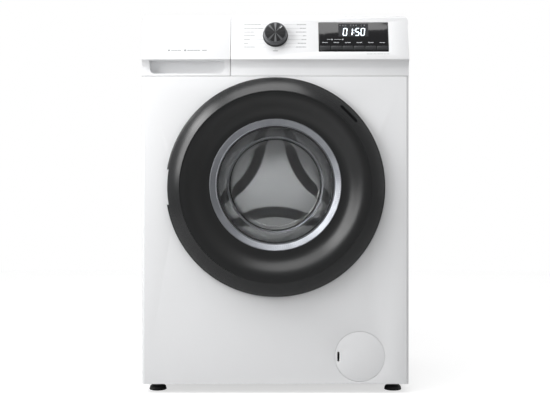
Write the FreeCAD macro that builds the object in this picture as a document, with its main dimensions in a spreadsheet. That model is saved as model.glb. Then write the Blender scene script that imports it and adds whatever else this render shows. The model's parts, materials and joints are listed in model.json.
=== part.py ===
import FreeCAD, Part
import math
import os
import Sketcher

# Front-loading washing machine, 60 cm wide.
# +X is the machine's right as seen from the front, +Y runs from the door to the rear wall, +Z is up.
# The origin is on the floor, at the middle of the machine's own bounding box. Millimetres and degrees.

SIZES = {
    # cabinet
    "overall_width": 595, "overall_height": 845, "overall_depth": 585,
    "sheet": 1, "edge_radius": 7, "panel_setback": 38, "rear_setback": 17, "base_height": 21,
    "panel_return": 18.5, "wrap_flange": 18, "panel_top": 707, "worktop_thickness": 30,
    "tray_height": 19, "tray_wall": 1.5, "porthole_radius": 165,
    # control panel: a face that leans back above a nose, with a cove under it
    "nose_height": 744, "nose_reach": 8, "face_lean": 18.5, "face_rounding": 5, "fascia_back": 49.5,
    "corner_radius": 10,
    "cove_height": 16, "cove_depth": 2.5, "cove_radius": 24, "seam_x": -99.6, "seam_gap": 1, "moulding": 3,
    "window_left": 96.3, "window_right": 253.1, "window_low": 18.3, "window_high": 91.2,
    "key_left": 98.7, "key_pitch": 25.6, "key_width": 23.7, "key_low": 23.4, "key_high": 32.5,
    "knob_along": 57.5, "knob_radius": 28, "knob_height": 18.4,
    # detergent drawer
    "grip_left": -280.3, "grip_right": -114.1, "grip_low": 713, "grip_high": 742, "grip_depth": 30,
    "tray_left": -283, "tray_right": -137, "tray_low": 722, "tray_high": 772, "tray_front": -205,
    "tray_back": 88, "tray_skin": 2,
    # drum, tub and drive
    "drum_height": 465, "drum_radius": 243, "drum_front": -185, "drum_rear": 140, "drum_mouth": 150,
    "tub_inner": 256, "tub_outer": 261, "tub_flange": 268, "tub_split": -20,
    "tub_front": -215, "tub_rear": 168,
    "tub_neck": 158, "hub_radius": 46, "hub_rear": 215, "bearing_outer": 31, "shaft_radius": 14.95,
    "pulley_front": 222, "pulley_rear": 240, "drum_pulley_radius": 140,
    "motor_height": 130, "motor_radius": 52, "motor_pulley_radius": 11, "belt_thickness": 4,
    "lifter_height": 45, "lifter_width": 70, "star_reach": 195, "star_width": 44, "star_fillet": 204,
    "damper_x": 170, "damper_y": 40, "spring_x": 266, "spring_y": 140, "spring_low": 600, "spring_high": 760,
    # door
    "door_height": 460, "door_radius": 243.5, "ridge_radius": 211.5, "door_back": -262, "door_shell": 3,
    "glass_radius": 146, "bowl_radius": 108, "bowl_reach": -148, "glass_wall": 5,
    "hinge_x": -230, "hinge_y": -269, "pin_radius": 2.5, "hinge_half": 45,
    "latch_x": 196,
    # service flap, pump, feet
    "flap_x": 188, "flap_z": 82.3, "flap_radius": 55.6, "flap_gap": 0.5,
    "foot_x": 267, "foot_front": -204.5, "foot_rear": 225, "foot_radius": 19.5,
    "inlet_x": -230, "inlet_z": 770, "outlet_x": 250, "outlet_z": 760,
}

doc = FreeCAD.newDocument("WashingMachine")
V = FreeCAD.Vector


# ---- sizes that remember where they come from ----

class Length:
    """A number with the spreadsheet expression that gives it."""

    def __init__(self, value, text):
        self.value = float(value)
        self.text = text

    def join(self, sign, other, value):
        return Length(value, f"({self.text} {sign} {other.text})")

    def __add__(self, other):
        other = as_length(other)
        return self.join("+", other, self.value + other.value)

    def __sub__(self, other):
        other = as_length(other)
        return self.join("-", other, self.value - other.value)

    def __mul__(self, other):
        other = as_length(other)
        return self.join("*", other, self.value * other.value)

    def __truediv__(self, other):
        other = as_length(other)
        return self.join("/", other, self.value / other.value)

    def __radd__(self, other):
        return as_length(other) + self

    def __rsub__(self, other):
        return as_length(other) - self

    def __rmul__(self, other):
        return as_length(other) * self

    def __neg__(self):
        return as_length(0) - self


def as_length(number):
    return number if isinstance(number, Length) else Length(number, f"{float(number):.6g}")


def sine(angle):
    return Length(math.sin(math.radians(angle.value)), f"sin({angle.text})")


def cosine(angle):
    return Length(math.cos(math.radians(angle.value)), f"cos({angle.text})")


class Sizes:
    """The spreadsheet's cells, read by alias."""

    def __getattr__(self, alias):
        return Length(SIZES[alias], f"Sizes.{alias}")


def fill_sheet():
    sheet = doc.addObject("Spreadsheet::Sheet", "Sizes")
    for row, (alias, value) in enumerate(SIZES.items(), start=1):
        sheet.set(f"A{row}", alias)
        sheet.set(f"B{row}", str(value))
        sheet.setAlias(f"B{row}", alias)
    doc.recompute()


def bind(item, path, length):
    """Bind a property to the sheet, unless it is a plain number."""
    if "Sizes" in length.text:
        item.setExpression(path, length.text)


# ---- placing ----

TURNS = {
    "Z": FreeCAD.Rotation(),
    "Y": FreeCAD.Rotation(V(1, 0, 0), -90),
    "X": FreeCAD.Rotation(V(0, 1, 0), 90),
}


def place(item, x=0, y=0, z=0, rotation=None):
    x, y, z = as_length(x), as_length(y), as_length(z)
    item.Placement = FreeCAD.Placement(V(x.value, y.value, z.value), rotation or FreeCAD.Rotation())
    for path, length in (("x", x), ("y", y), ("z", z)):
        bind(item, f"Placement.Base.{path}", length)
    return item


def place_on_face(item, x=0, along=0):
    """Set an item on the control panel's leaning face: its +Y runs up the face, its +Z points out of it."""
    along = as_length(along)
    y = nose_y + along * sine(size.face_lean)
    z = size.nose_height + along * cosine(size.face_lean)
    place(item, x, y, z, FreeCAD.Rotation(V(1, 0, 0), 90 - size.face_lean.value))
    bind(item, "Placement.Rotation.Angle", 90 - size.face_lean)
    return item


# ---- primitives and booleans ----

def box(label, low, high):
    """A block between two corners."""
    low = [as_length(number) for number in low]
    high = [as_length(number) for number in high]
    item = doc.addObject("Part::Box", label)
    item.Label = label
    for name, start, end in zip(("Length", "Width", "Height"), low, high):
        setattr(item, name, (end - start).value)
        bind(item, name, end - start)
    return place(item, *low)


def cylinder(label, base, radius, height, along="Z"):
    radius, height = as_length(radius), as_length(height)
    item = doc.addObject("Part::Cylinder", label)
    item.Label = label
    item.Radius = radius.value
    item.Height = height.value
    bind(item, "Radius", radius)
    bind(item, "Height", height)
    return place(item, *base, rotation=TURNS[along])


def fuse(label, *items):
    joined = doc.addObject("Part::MultiFuse", label)
    joined.Label = label
    joined.Shapes = list(items)
    return joined


def cut(label, base, tool):
    result = doc.addObject("Part::Cut", label)
    result.Label = label
    result.Base = base
    result.Tool = tool
    return result


def group(label, items):
    """Identical pieces that share one node, each a solid of its own."""
    result = doc.addObject("Part::Compound", label)
    result.Label = label
    result.Links = list(items)
    return result


# ---- bodies and sketches ----

def new_body(label):
    body = doc.addObject("PartDesign::Body", label)
    body.Label = label
    return body


def new_sketch(body, plane, name, level=0):
    """A sketch on an origin plane, moved along that plane's world axis to level."""
    level = as_length(level)
    offset = -level if plane == "XZ" else level
    sketch = body.newObject("Sketcher::SketchObject", name)
    origin_plane = [item for item in body.Origin.OriginFeatures if item.Role == plane + "_Plane"][0]
    sketch.AttachmentSupport = [(origin_plane, "")]
    sketch.MapMode = "FlatFace"
    sketch.AttachmentOffset = FreeCAD.Placement(V(0, 0, offset.value), FreeCAD.Rotation())
    bind(sketch, "AttachmentOffset.Base.z", offset)
    return sketch


def face_sketch(body, name, height=0):
    """A sketch on the leaning face, height above it: u is x, v runs up the face from the nose."""
    height = as_length(height)
    sketch = new_sketch(body, "XZ", name)
    up = size.nose_height + height * sine(size.face_lean)
    out = -nose_y + height * cosine(size.face_lean)
    turn = FreeCAD.Rotation(V(1, 0, 0), -size.face_lean.value)
    sketch.AttachmentOffset = FreeCAD.Placement(V(0, up.value, out.value), turn)
    bind(sketch, "AttachmentOffset.Base.y", up)
    bind(sketch, "AttachmentOffset.Base.z", out)
    bind(sketch, "AttachmentOffset.Rotation.Angle", -size.face_lean)
    return sketch


def hold(sketch, kind, where, length):
    """Add one driving dimension and bind it to the sheet."""
    number = sketch.addConstraint(Sketcher.Constraint(kind, *where, length.value))
    name = f"size{number}"
    sketch.renameConstraint(number, name)
    bind(sketch, f"Constraints.{name}", length)


def hold_point(sketch, edge, end, point):
    hold(sketch, "DistanceX", (-1, 1, edge, end), point[0])
    hold(sketch, "DistanceY", (-1, 1, edge, end), point[1])


def draw_edge(sketch, start, end):
    """Draw a line, or an arc when end carries a radius: positive turns left, negative turns right.

    Returns the edge's number and which of its two ends are its start and its end."""
    first = V(start[0].value, start[1].value, 0)
    last = V(end[0].value, end[1].value, 0)
    if len(end) == 2:
        return sketch.addGeometry(Part.LineSegment(first, last), False), 1, 2
    radius = end[2].value
    chord = last - first
    rise = math.sqrt(max(radius * radius - chord.Length ** 2 / 4, 0))
    left = V(-chord.y, chord.x, 0).normalize()
    centre = (first + last) * 0.5 + left * math.copysign(rise, radius)
    angles = [math.atan2(point.y - centre.y, point.x - centre.x) for point in (first, last)]
    if radius < 0:
        angles.reverse()
    arc = Part.ArcOfCircle(Part.Circle(centre, V(0, 0, 1), abs(radius)), *angles)
    edge = sketch.addGeometry(arc, False)
    hold(sketch, "Radius", (edge,), end[2] if radius > 0 else -end[2])
    return (edge, 1, 2) if radius > 0 else (edge, 2, 1)


def outline(sketch, corners):
    """A closed outline. A corner is (u, v), or (u, v, radius) when an arc leads to it."""
    corners = [[as_length(number) for number in corner] for corner in corners]
    edges = [draw_edge(sketch, start, end) for start, end in zip(corners, corners[1:] + corners[:1])]
    for (edge, _, end), (following, start, _) in zip(edges, edges[1:] + edges[:1]):
        sketch.addConstraint(Sketcher.Constraint("Coincident", edge, end, following, start))
    for corner, (edge, start, _) in zip(corners, edges):
        hold_point(sketch, edge, start, corner)
    return sketch


def rectangle(sketch, left, low, right, high, radius=0):
    """An upright rectangle, with rounded corners when a radius is given."""
    if as_length(radius).value == 0:
        return outline(sketch, [(left, low), (right, low), (right, high), (left, high)])
    return outline(sketch, [
        (left + radius, low, radius), (right - radius, low), (right, low + radius, radius),
        (right, high - radius), (right - radius, high, radius), (left + radius, high),
        (left, high - radius, radius), (left, low + radius)])


def circle(sketch, u, v, radius):
    u, v, radius = as_length(u), as_length(v), as_length(radius)
    edge = sketch.addGeometry(Part.Circle(V(u.value, v.value, 0), V(0, 0, 1), radius.value), False)
    hold_point(sketch, edge, 3, (u, v))
    hold(sketch, "Radius", (edge,), radius)
    return sketch


def add_feature(body, kind, sketch, name, length=None):
    feature = body.newObject(f"PartDesign::{kind}", f"{name}_{kind.lower()}")
    feature.Profile = sketch
    if length is not None:
        length = as_length(length)
        feature.Length = length.value
        bind(feature, "Length", length)
    sketch.Visibility = False
    return feature


def pad(body, sketch, length):
    """Pads grow towards +X, -Y or +Z from their sketch."""
    return add_feature(body, "Pad", sketch, sketch.Name, length)


def pocket(body, sketch, length):
    """Pockets cut towards -X, +Y or -Z from their sketch."""
    return add_feature(body, "Pocket", sketch, sketch.Name, length)


def turn(body, sketch, axis="H_Axis", kind="Revolution"):
    feature = add_feature(body, kind, sketch, sketch.Name)
    feature.ReferenceAxis = (sketch, [axis])
    feature.Angle = 360
    return feature


def round_edges(body, radius, chosen):
    """Fillet the edges that the test picks out."""
    doc.recompute()
    base = body.Tip
    names = [f"Edge{number}" for number, edge in enumerate(base.Shape.Edges, start=1) if chosen(edge)]
    fillet = body.newObject("PartDesign::Fillet", f"{base.Name}_fillet")
    fillet.Base = (base, names)
    fillet.Radius = as_length(radius).value
    bind(fillet, "Radius", as_length(radius))
    return fillet


def turned(label, profile, height=0, x=0):
    """A body turned about an axis that runs front to back; the profile is (y, radius)."""
    body = new_body(label)
    turn(body, outline(new_sketch(body, "YZ", f"{label}_profile"), profile))
    return place(body, x=x, z=height)


def upright(label, profile, x=0, y=0):
    """A body turned about a vertical axis; the profile is (radius, z)."""
    body = new_body(label)
    turn(body, outline(new_sketch(body, "XZ", f"{label}_profile"), profile), "V_Axis")
    return place(body, x=x, y=y)


size = Sizes()
half_width = size.overall_width / 2
half_depth = size.overall_depth / 2
panel_y = size.panel_setback - half_depth
rear_y = half_depth - size.rear_setback
nose_y = panel_y - size.nose_reach
fascia_back_y = panel_y + size.fascia_back
worktop_low = size.overall_height - size.worktop_thickness
wrap_front = panel_y + size.panel_return + 0.5
fascia_step_z = size.nose_height - 2
drawer_step_y, drawer_step_z = fascia_back_y - 13, size.tray_low + 13


# ---- cabinet ----

def cabinet_wrap():
    """One sheet folded round both sides and the back, with flanges behind the front panel."""
    w, t, r, yf, yr = half_width, size.sheet, size.edge_radius, wrap_front, rear_y
    body = new_body("cabinet_wrap")
    plan = outline(new_sketch(body, "XY", "wrap_plan", size.base_height), [
        (w - size.wrap_flange, yf), (w, yf), (w, yr - r), (w - r, yr, r), (r - w, yr), (-w, yr - r, r), (-w, yf),
        (size.wrap_flange - w, yf), (size.wrap_flange - w, yf + t), (t - w, yf + t), (t - w, yr - r),
        (r - w, yr - t, t - r), (w - r, yr - t), (w - t, yr - r, t - r), (w - t, yf + t),
        (w - size.wrap_flange, yf + t)])
    pad(body, plan, worktop_low - size.base_height)
    notches = (("fascia_notch", w + 1, fascia_back_y + 0.3, fascia_step_z - 0.3),
               ("drawer_notch", 0, drawer_step_y + 0.3, size.panel_top + 0.3),
               ("drawer_shoulder_notch", 0, fascia_back_y + 0.3, drawer_step_z - 0.3))
    for name, start_x, back_y, low in notches:
        notch = new_sketch(body, "YZ", name, start_x)
        rectangle(notch, yf - 1, low, back_y, worktop_low + 1)
        pocket(body, notch, w + 1)
    back = new_sketch(body, "XZ", "rear_openings", rear_y - 2)
    rectangle(back, -160, 290, 160, 640, 20)
    circle(back, size.inlet_x, size.inlet_z, 15)
    circle(back, size.outlet_x, size.outlet_z, 12)
    circle(back, size.outlet_x, size.outlet_z - 90, 9)
    pocket(body, back, 3)
    return body


def front_panel():
    """A pressed panel with returns on all four sides and the porthole."""
    w, t, r, yf = half_width, size.sheet, size.edge_radius, panel_y
    yb = panel_y + size.panel_return
    body = new_body("front_panel")
    plan = outline(new_sketch(body, "XY", "panel_plan", size.base_height), [
        (-w, yb), (-w, yf + r), (r - w, yf, r), (w - r, yf), (w, yf + r, r), (w, yb), (w - t, yb), (w - t, yf + r),
        (w - r, yf + t, t - r), (r - w, yf + t), (t - w, yf + r, t - r), (t - w, yb)])
    pad(body, plan, size.panel_top - size.base_height)
    for name, low in (("lower_return", size.base_height), ("upper_return", size.panel_top - t)):
        flange = new_sketch(body, "XY", name, low)
        rectangle(flange, r - w, yf + t / 2, w - r, yb)
        pad(body, flange, t)
    holes = new_sketch(body, "XZ", "panel_holes", yf - 1)
    circle(holes, 0, size.drum_height, size.porthole_radius)
    circle(holes, size.flap_x, size.flap_z, size.flap_radius + size.flap_gap)
    rectangle(holes, size.latch_x - 6, size.door_height - 16, size.latch_x + 9, size.door_height + 16)
    for middle in (size.door_height - 30, size.door_height + 30):
        rectangle(holes, size.hinge_x + 10, middle - 6.5, size.hinge_x + 42, middle + 6.5)
    pocket(body, holes, 3)
    return body


def base_tray():
    w, y0, y1 = half_width - 1.5, wrap_front + 2, rear_y - 1.3
    body = new_body("base_tray")
    outer = rectangle(new_sketch(body, "XY", "tray_plan", size.base_height), -w, y0, w, y1, size.edge_radius)
    pad(body, outer, size.tray_height)
    hollow = new_sketch(body, "XY", "tray_hollow", size.base_height + size.tray_height)
    rectangle(hollow, size.tray_wall - w, y0 + size.tray_wall, w - size.tray_wall, y1 - size.tray_wall,
              size.edge_radius - size.tray_wall)
    pocket(body, hollow, size.tray_height - size.tray_wall)
    holes = new_sketch(body, "XY", "foot_holes", size.base_height + 5)
    for x, y in foot_places():
        circle(holes, x, y, 5.2)
    pocket(body, holes, 10)
    return body


def foot_places():
    return [(side * size.foot_x, y) for side in (-1, 1) for y in (size.foot_front, size.foot_rear)]


def levelling_feet():
    r = size.foot_radius
    profile = [(0, 0), (r - 2, 0), (r, 2, 2), (r - 1.5, 8), (12, 13), (5, 14), (5, 44), (0, 44)]
    return group("levelling_feet", [upright(f"foot_{number}", profile, x, y)
                                    for number, (x, y) in enumerate(foot_places(), start=1)])


def foot_lock_nuts():
    nuts = []
    for number, (x, y) in enumerate(foot_places(), start=1):
        body = new_body(f"lock_nut_{number}")
        sketch = new_sketch(body, "XY", f"nut_{number}", 14.5)
        outline(sketch, [(9 * math.cos(math.radians(a)), 9 * math.sin(math.radians(a))) for a in range(0, 360, 60)])
        circle(sketch, 0, 0, 5.1)
        pad(body, sketch, 6)
        nuts.append(place(body, x, y))
    return group("foot_lock_nuts", nuts)


def worktop():
    body = new_body("worktop")
    w, y0, r = half_width, fascia_back_y + 0.5, size.edge_radius
    plan = outline(new_sketch(body, "XY", "worktop_plan", worktop_low), [
        (-w, y0), (w, y0), (w, rear_y - r), (w - r, rear_y, r), (r - w, rear_y), (-w, rear_y - r, r)])
    pad(body, plan, size.worktop_thickness)
    top = size.overall_height.value - 0.01
    round_edges(body, 2.5, lambda edge: edge.BoundBox.ZMin > top and edge.BoundBox.YMax > y0.value + 1)
    return body


def top_frame():
    """Steel bars between the side walls under the worktop, and the brackets that the springs hang from."""
    w = half_width - size.sheet - 0.2
    low, high = worktop_low - 19, worktop_low - 0.3
    y, z, inner = size.spring_y, size.spring_high, size.spring_x - 18
    return group("top_frame", [box("front_crossbar", (-w, fascia_back_y + 1, low), (w, fascia_back_y + 24, high)),
                               box("rear_crossbar", (-w, rear_y - 30, low), (w, rear_y - 8, high)),
                               box("bracket_left", (-w, y - 14, z), (-inner, y + 14, z + 14)),
                               box("bracket_right", (inner, y - 14, z), (w, y + 14, z + 14))])


def rear_access_cover():
    body = new_body("rear_access_cover")
    pad(body, rectangle(new_sketch(body, "XZ", "cover_outline", rear_y + 2), -175, 275, 175, 655, 22), 2)
    ridge = new_sketch(body, "XZ", "cover_ridge", rear_y + 5)
    circle(ridge, 0, size.drum_height, 150)
    circle(ridge, 0, size.drum_height, 110)
    pad(body, ridge, 3.5)
    return body


def screw(label, x, y, z):
    """A pan head screw into the rear wall."""
    head = cylinder(f"{label}_head", (x, y, z), 4, 2.4, "Y")
    shank = cylinder(f"{label}_shank", (x, y - 2, z), 1.6, 2.5, "Y")
    return fuse(label, head, shank)


def cabinet_screws():
    places = [(x, z) for x in (-250, 250) for z in (80, 720)] + [(x, z) for x in (-90, 90) for z in (60, 790)]
    return group("cabinet_screws", [screw(f"screw_{n}", x, rear_y, z) for n, (x, z) in enumerate(places, start=1)])


# ---- control panel and detergent drawer ----

def face_outline(low, step_y, step_z):
    """The control panel's section (y, z): cove, nose, leaning face and rounded top edge.

    The section is shallow below step_z, because the tub lies behind it there."""
    lean = size.face_lean
    half_corner = Length(math.tan(math.radians(45 - lean.value / 2)), "tan(45 - Sizes.face_lean / 2)")
    reach = size.face_rounding * half_corner
    corner = (size.overall_height - size.nose_height) / cosine(lean)
    corner_y = nose_y + corner * sine(lean)
    face_end = corner - reach
    cove_y = panel_y + size.cove_depth
    return [(panel_y, low), (step_y, low), (step_y, step_z), (fascia_back_y, step_z),
            (fascia_back_y, size.overall_height),
            (corner_y + reach, size.overall_height),
            (nose_y + face_end * sine(lean), size.nose_height + face_end * cosine(lean), size.face_rounding),
            (nose_y, size.nose_height), (cove_y, low + size.cove_height, -size.cove_radius)]


def panel_moulding(label, left, right, low, step_y, step_z):
    body = new_body(label)
    section = new_sketch(body, "YZ", f"{label}_section", left)
    pad(body, outline(section, face_outline(low, step_y, step_z)), right - left)
    return body


def round_top_corner(body, name, side):
    """Round the corner between the top and one side, seen from the front."""
    r, w, h = size.corner_radius, half_width, size.overall_height
    corner = new_sketch(body, "XZ", name, nose_y - 1)
    if side > 0:
        outline(corner, [(w + 1, h - r), (w + 1, h + 1), (w - r, h + 1), (w - r, h), (w, h - r, -r)])
    else:
        outline(corner, [(r - w, h + 1), (-w - 1, h + 1), (-w - 1, h - r), (-w, h - r), (r - w, h, -r)])
    pocket(body, corner, fascia_back_y - nose_y + 2)


def control_fascia():
    left, right, low, wall = size.seam_x + size.seam_gap / 2, half_width, size.panel_top + 0.8, size.moulding
    step_y, step_z = panel_y + size.panel_return, fascia_step_z
    body = panel_moulding("control_fascia", left, right, low, step_y, step_z)
    round_top_corner(body, "fascia_corner", 1)
    side_wall = wall + 1.5
    hollow = new_sketch(body, "YZ", "fascia_hollow", right - side_wall)
    slope = sine(size.face_lean) / cosine(size.face_lean)
    rise = size.overall_height - wall - size.nose_height
    outline(hollow, [
        (panel_y + wall + 1, low + wall), (step_y - wall, low + wall), (step_y - wall, step_z + wall),
        (fascia_back_y + 1, step_z + wall), (fascia_back_y + 1, size.overall_height - wall),
        (nose_y + rise * slope + wall + 1, size.overall_height - wall), (nose_y + 4.5, size.nose_height + 2),
        (panel_y + size.cove_depth + wall, low + size.cove_height)])
    pocket(body, hollow, right - left - wall - side_wall)
    seat = rectangle(face_sketch(body, "window_seat", 1), size.window_left, size.window_low,
                     size.window_right, size.window_high, 2)
    pocket(body, seat, 3)
    through = face_sketch(body, "face_holes", 1)
    rectangle(through, size.window_left + 2, size.window_low + 2.5,
              size.window_right - 2, size.window_high - 2.5)
    circle(through, 0, size.knob_along, 4)
    pocket(body, through, 12)
    return body


def key_spans():
    lefts = [size.key_left + size.key_pitch * number for number in range(6)]
    return [(left, left + size.key_width) for left in lefts]


def display_window():
    """The glossy window, with an opening for each key."""
    body = new_body("display_window")
    plate = new_sketch(body, "XY", "window_plate", -1.8)
    rectangle(plate, size.window_left + 0.2, size.window_low + 0.2, size.window_right - 0.2,
              size.window_high - 0.2, 1.8)
    for left, right in key_spans():
        rectangle(plate, left - 0.35, size.key_low - 0.35, right + 0.35, size.key_high + 0.35)
    pad(body, plate, 2)
    return place_on_face(body)


def display_module():
    """Carrier and circuit board behind the window, with the selector's encoder."""
    carrier = new_body("display_module")
    plan = new_sketch(carrier, "XY", "carrier_plan", -20)
    rectangle(plan, -30, 16, size.window_right, 92)
    pad(carrier, plan, 9)
    socket = new_sketch(carrier, "XY", "encoder_socket", -10)
    circle(socket, 0, size.knob_along, 3.3)
    pocket(carrier, socket, 8)
    return place_on_face(carrier)


def key(name, left, right):
    body = new_body(name)
    pad(body, rectangle(new_sketch(body, "XY", f"{name}_plan", -8), left, size.key_low, right, size.key_high, 0.8),
        8.9)
    return place_on_face(body)


def knob_skirt():
    r, h = size.knob_radius, size.knob_height
    profile = [(21, 0.6), (r, 0.6), (r, 3), (r - 1.2, 3.6), (r - 2.2, h - 1.2), (r - 3, h - 0.4), (r - 3.4, h - 0.4),
               (r - 3.4, h - 3.5), (21, h - 3.5)]
    return place_on_face(upright("knob_skirt", profile), 0, size.knob_along)


def knob_cap():
    r, h = size.knob_radius - 3.5, size.knob_height
    profile = [(0, -16), (3, -16), (3, h - 3.4), (r, h - 3.4), (r, h - 0.8), (r - 0.8, h), (0, h)]
    return place_on_face(upright("knob_cap", profile), 0, size.knob_along)


def drawer_front():
    left, right, low, wall = -half_width, size.seam_x - size.seam_gap / 2, size.panel_top + 0.8, size.moulding
    body = panel_moulding("drawer_front", left, right, low, drawer_step_y, drawer_step_z)
    round_top_corner(body, "drawer_corner", -1)
    side_wall = wall + 1.5
    hollow = new_sketch(body, "YZ", "front_hollow", right - wall)
    slope = sine(size.face_lean) / cosine(size.face_lean)
    rise = size.overall_height - wall - size.nose_height
    outline(hollow, [
        (nose_y + 28 * slope + wall + 1, size.nose_height + 28), (fascia_back_y + 1, size.nose_height + 28),
        (fascia_back_y + 1, size.overall_height - wall),
        (nose_y + rise * slope + wall + 1, size.overall_height - wall)])
    pocket(body, hollow, right - left - wall - side_wall)
    grip = new_sketch(body, "XZ", "grip_recess", nose_y - 1)
    r = 12
    outline(grip, [(size.grip_left, size.grip_low + r), (size.grip_left + r, size.grip_low, r),
                   (size.grip_right - r, size.grip_low), (size.grip_right, size.grip_low + r, r),
                   (size.grip_right, size.grip_high), (size.grip_left, size.grip_high)])
    pocket(body, grip, size.grip_depth)
    return body


def detergent_tray():
    """The open tray, with two dividers and a tongue that joins it to the drawer's front."""
    t = size.tray_skin
    x0, x1, y0, y1, z0, z1 = (size.tray_left, size.tray_right, size.tray_front, size.tray_back, size.tray_low,
                              size.tray_high)
    body = new_body("detergent_tray")
    pad(body, rectangle(new_sketch(body, "XY", "tray_outline", z0), x0, y0, x1, y1), z1 - z0)
    hollow = new_sketch(body, "XY", "compartments", z1)
    for start, end in tray_compartments():
        rectangle(hollow, start, y0 + t, end, y1 - t)
    pocket(body, hollow, z1 - z0 - t)
    return body


def tray_compartments():
    width = (size.tray_right - size.tray_left - 4 * size.tray_skin) / 3
    starts = [size.tray_left + size.tray_skin + (width + size.tray_skin) * number for number in range(3)]
    return [(start, start + width) for start in starts]


def dispenser_housing():
    """The box that the tray slides in, open at the front, with its outlet underneath."""
    x0, x1, y0, y1 = size.tray_left - 6, size.tray_right + 6, fascia_back_y + 2, size.tray_back + 12
    z0, z1, wall = size.tray_low - 6, size.tray_high + 20, 2.5
    body = new_body("dispenser_housing")
    pad(body, rectangle(new_sketch(body, "XY", "housing_plan", z0), x0, y0, x1, y1), z1 - z0)
    spout = circle(new_sketch(body, "XY", "outlet_spout", z0 - 24), -205, 60, 20)
    pad(body, spout, 25)
    hollow = new_sketch(body, "XZ", "housing_hollow", y0 - 1)
    rectangle(hollow, x0 + wall, z0 + wall, x1 - wall, z1 - wall)
    pocket(body, hollow, y1 - y0 + 1 - wall)
    drain = circle(new_sketch(body, "XY", "outlet_bore", z0 + wall + 1), -205, 60, 17)
    pocket(body, drain, 30)
    return body


# ---- water and electrics ----

def inlet_valve():
    x, z = size.inlet_x, size.inlet_z
    return fuse("inlet_valve",
                cylinder("valve_neck", (x, rear_y - 40, z), 12.6, 45, "Y"),
                cylinder("valve_spigot", (x, rear_y + 0.5, z), 13.2, half_depth - rear_y - 0.5, "Y"),
                cylinder("valve_flange", (x, rear_y - 6, z), 22, 4.5, "Y"),
                box("valve_block", (x - 22, rear_y - 70, z - 25), (x + 22, rear_y - 38, z + 10)),
                cylinder("valve_coil_left", (x - 12, rear_y - 54, z - 62), 11, 40),
                cylinder("valve_coil_right", (x + 12, rear_y - 54, z - 62), 11, 40))


def inlet_hose():
    """A straight hose from the valve to the dispenser."""
    start = size.tray_back + 12
    length = rear_y - 70 - start
    outer = cylinder("inlet_hose_outside", (size.inlet_x, start, size.inlet_z), 8, length, "Y")
    bore = cylinder("inlet_hose_bore", (size.inlet_x, start - 1, size.inlet_z), 5.5, length + 2, "Y")
    return cut("inlet_hose", outer, bore)


def power_inlet():
    """The gland that the mains lead leaves through."""
    x, z = size.outlet_x, size.outlet_z - 90
    return fuse("power_inlet", cylinder("gland_body", (x, rear_y - 12, z), 8.8, 22, "Y"),
                cylinder("gland_flange", (x, rear_y, z), 13, 3, "Y"))


def drain_spigot():
    x, z, y = size.outlet_x, size.outlet_z, rear_y - 25.5
    return fuse("drain_spigot", cylinder("spigot_neck", (x, y, z), 10.5, 30, "Y"),
                cylinder("spigot_tube", (x, rear_y + 0.5, z), 11, half_depth - 3 - rear_y, "Y"),
                cylinder("spigot_flange", (x, rear_y - 6, z), 17, 4.5, "Y"),
                cylinder("spigot_drop", (x, y, z - 40), 11, 40))


def hose_path(name, radius):
    """A straight run along the floor, a quarter bend and a rise: the drain hose's solid at one radius."""
    x, floor_z, bend, start = size.outlet_x, 62, 60, -160
    rise_y = rear_y - 25.5
    bend_y = rise_y - bend
    along = cylinder(f"{name}_run", (x, start, floor_z), radius, bend_y - start, "Y")
    up = cylinder(f"{name}_rise", (x, rise_y, floor_z + bend), radius, size.outlet_z - 40 - floor_z - bend)
    elbow = doc.addObject("Part::Torus", f"{name}_elbow")
    elbow.Radius1 = bend
    elbow.Radius2 = radius
    elbow.Angle3 = 90
    place(elbow, x, bend_y, floor_z + bend, TURNS["X"])
    return fuse(name, along, elbow, up)


def fixed_hoses():
    """The inlet hose and the drain hose, which lie still inside the cabinet."""
    drain_hose = cut("drain_hose", hose_path("hose_outside", 11.5), hose_path("hose_bore", 9))
    return group("fixed_hoses", [inlet_hose(), drain_hose])


def drain_pump():
    """Filter chamber, pump motor, inlet elbow and outlet."""
    x, z = size.flap_x, size.flap_z
    body = new_body("pump_chamber")
    turn(body, outline(new_sketch(body, "YZ", "chamber_profile"), [
        (-242, 34.5), (-242, 41), (-175, 41), (-165, 30), (-105, 30), (-105, 0), (-180, 0), (-180, 34.5)]))
    place(body, x=x, z=z)
    inlet = fuse("pump_inlet", cylinder("inlet_run", (110, -130, z), 20, 60, "X"),
                 cylinder("inlet_rise", (110, -130, z - 5), 20, 50),
                 box("pump_outlet", (215, -186, 48), (262, -160, 76)))
    return fuse("drain_pump", body, inlet)


def pump_filter():
    x, z = size.flap_x, size.flap_z
    body = turned("filter_plug", [(-240, 0), (-240, 33), (-233, 33), (-233, 30), (-190, 30), (-190, 0)], z, x)
    bar = box("filter_grip", (x - 24, -247, z - 4), (x + 24, -239, z + 4))
    return fuse("pump_filter", body, bar)


def flap_frame():
    r = size.flap_radius
    back = panel_y + size.sheet
    return turned("flap_frame", [
        (back, r + 2), (back, r + 4), (back + 5, r + 4), (back + 5, r - 4), (back + 10, r - 6), (back + 10, r - 8.5),
        (back + 2, r - 6), (back + 2, r + 2)], size.flap_z, size.flap_x)


def service_flap():
    body = new_body("service_flap")
    sketch = new_sketch(body, "XZ", "flap_disc", panel_y + 1.8)
    disc = circle(sketch, size.flap_x, size.flap_z, size.flap_radius)
    pad(body, disc, 2)
    slot = new_sketch(body, "XZ", "coin_slot", panel_y - 1)
    rectangle(slot, size.flap_x - 50, size.flap_z - 10.5, size.flap_x - 45, size.flap_z + 10.5, 2)
    pocket(body, slot, 2)
    return body


# ---- tub, suspension and drive ----

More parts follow.
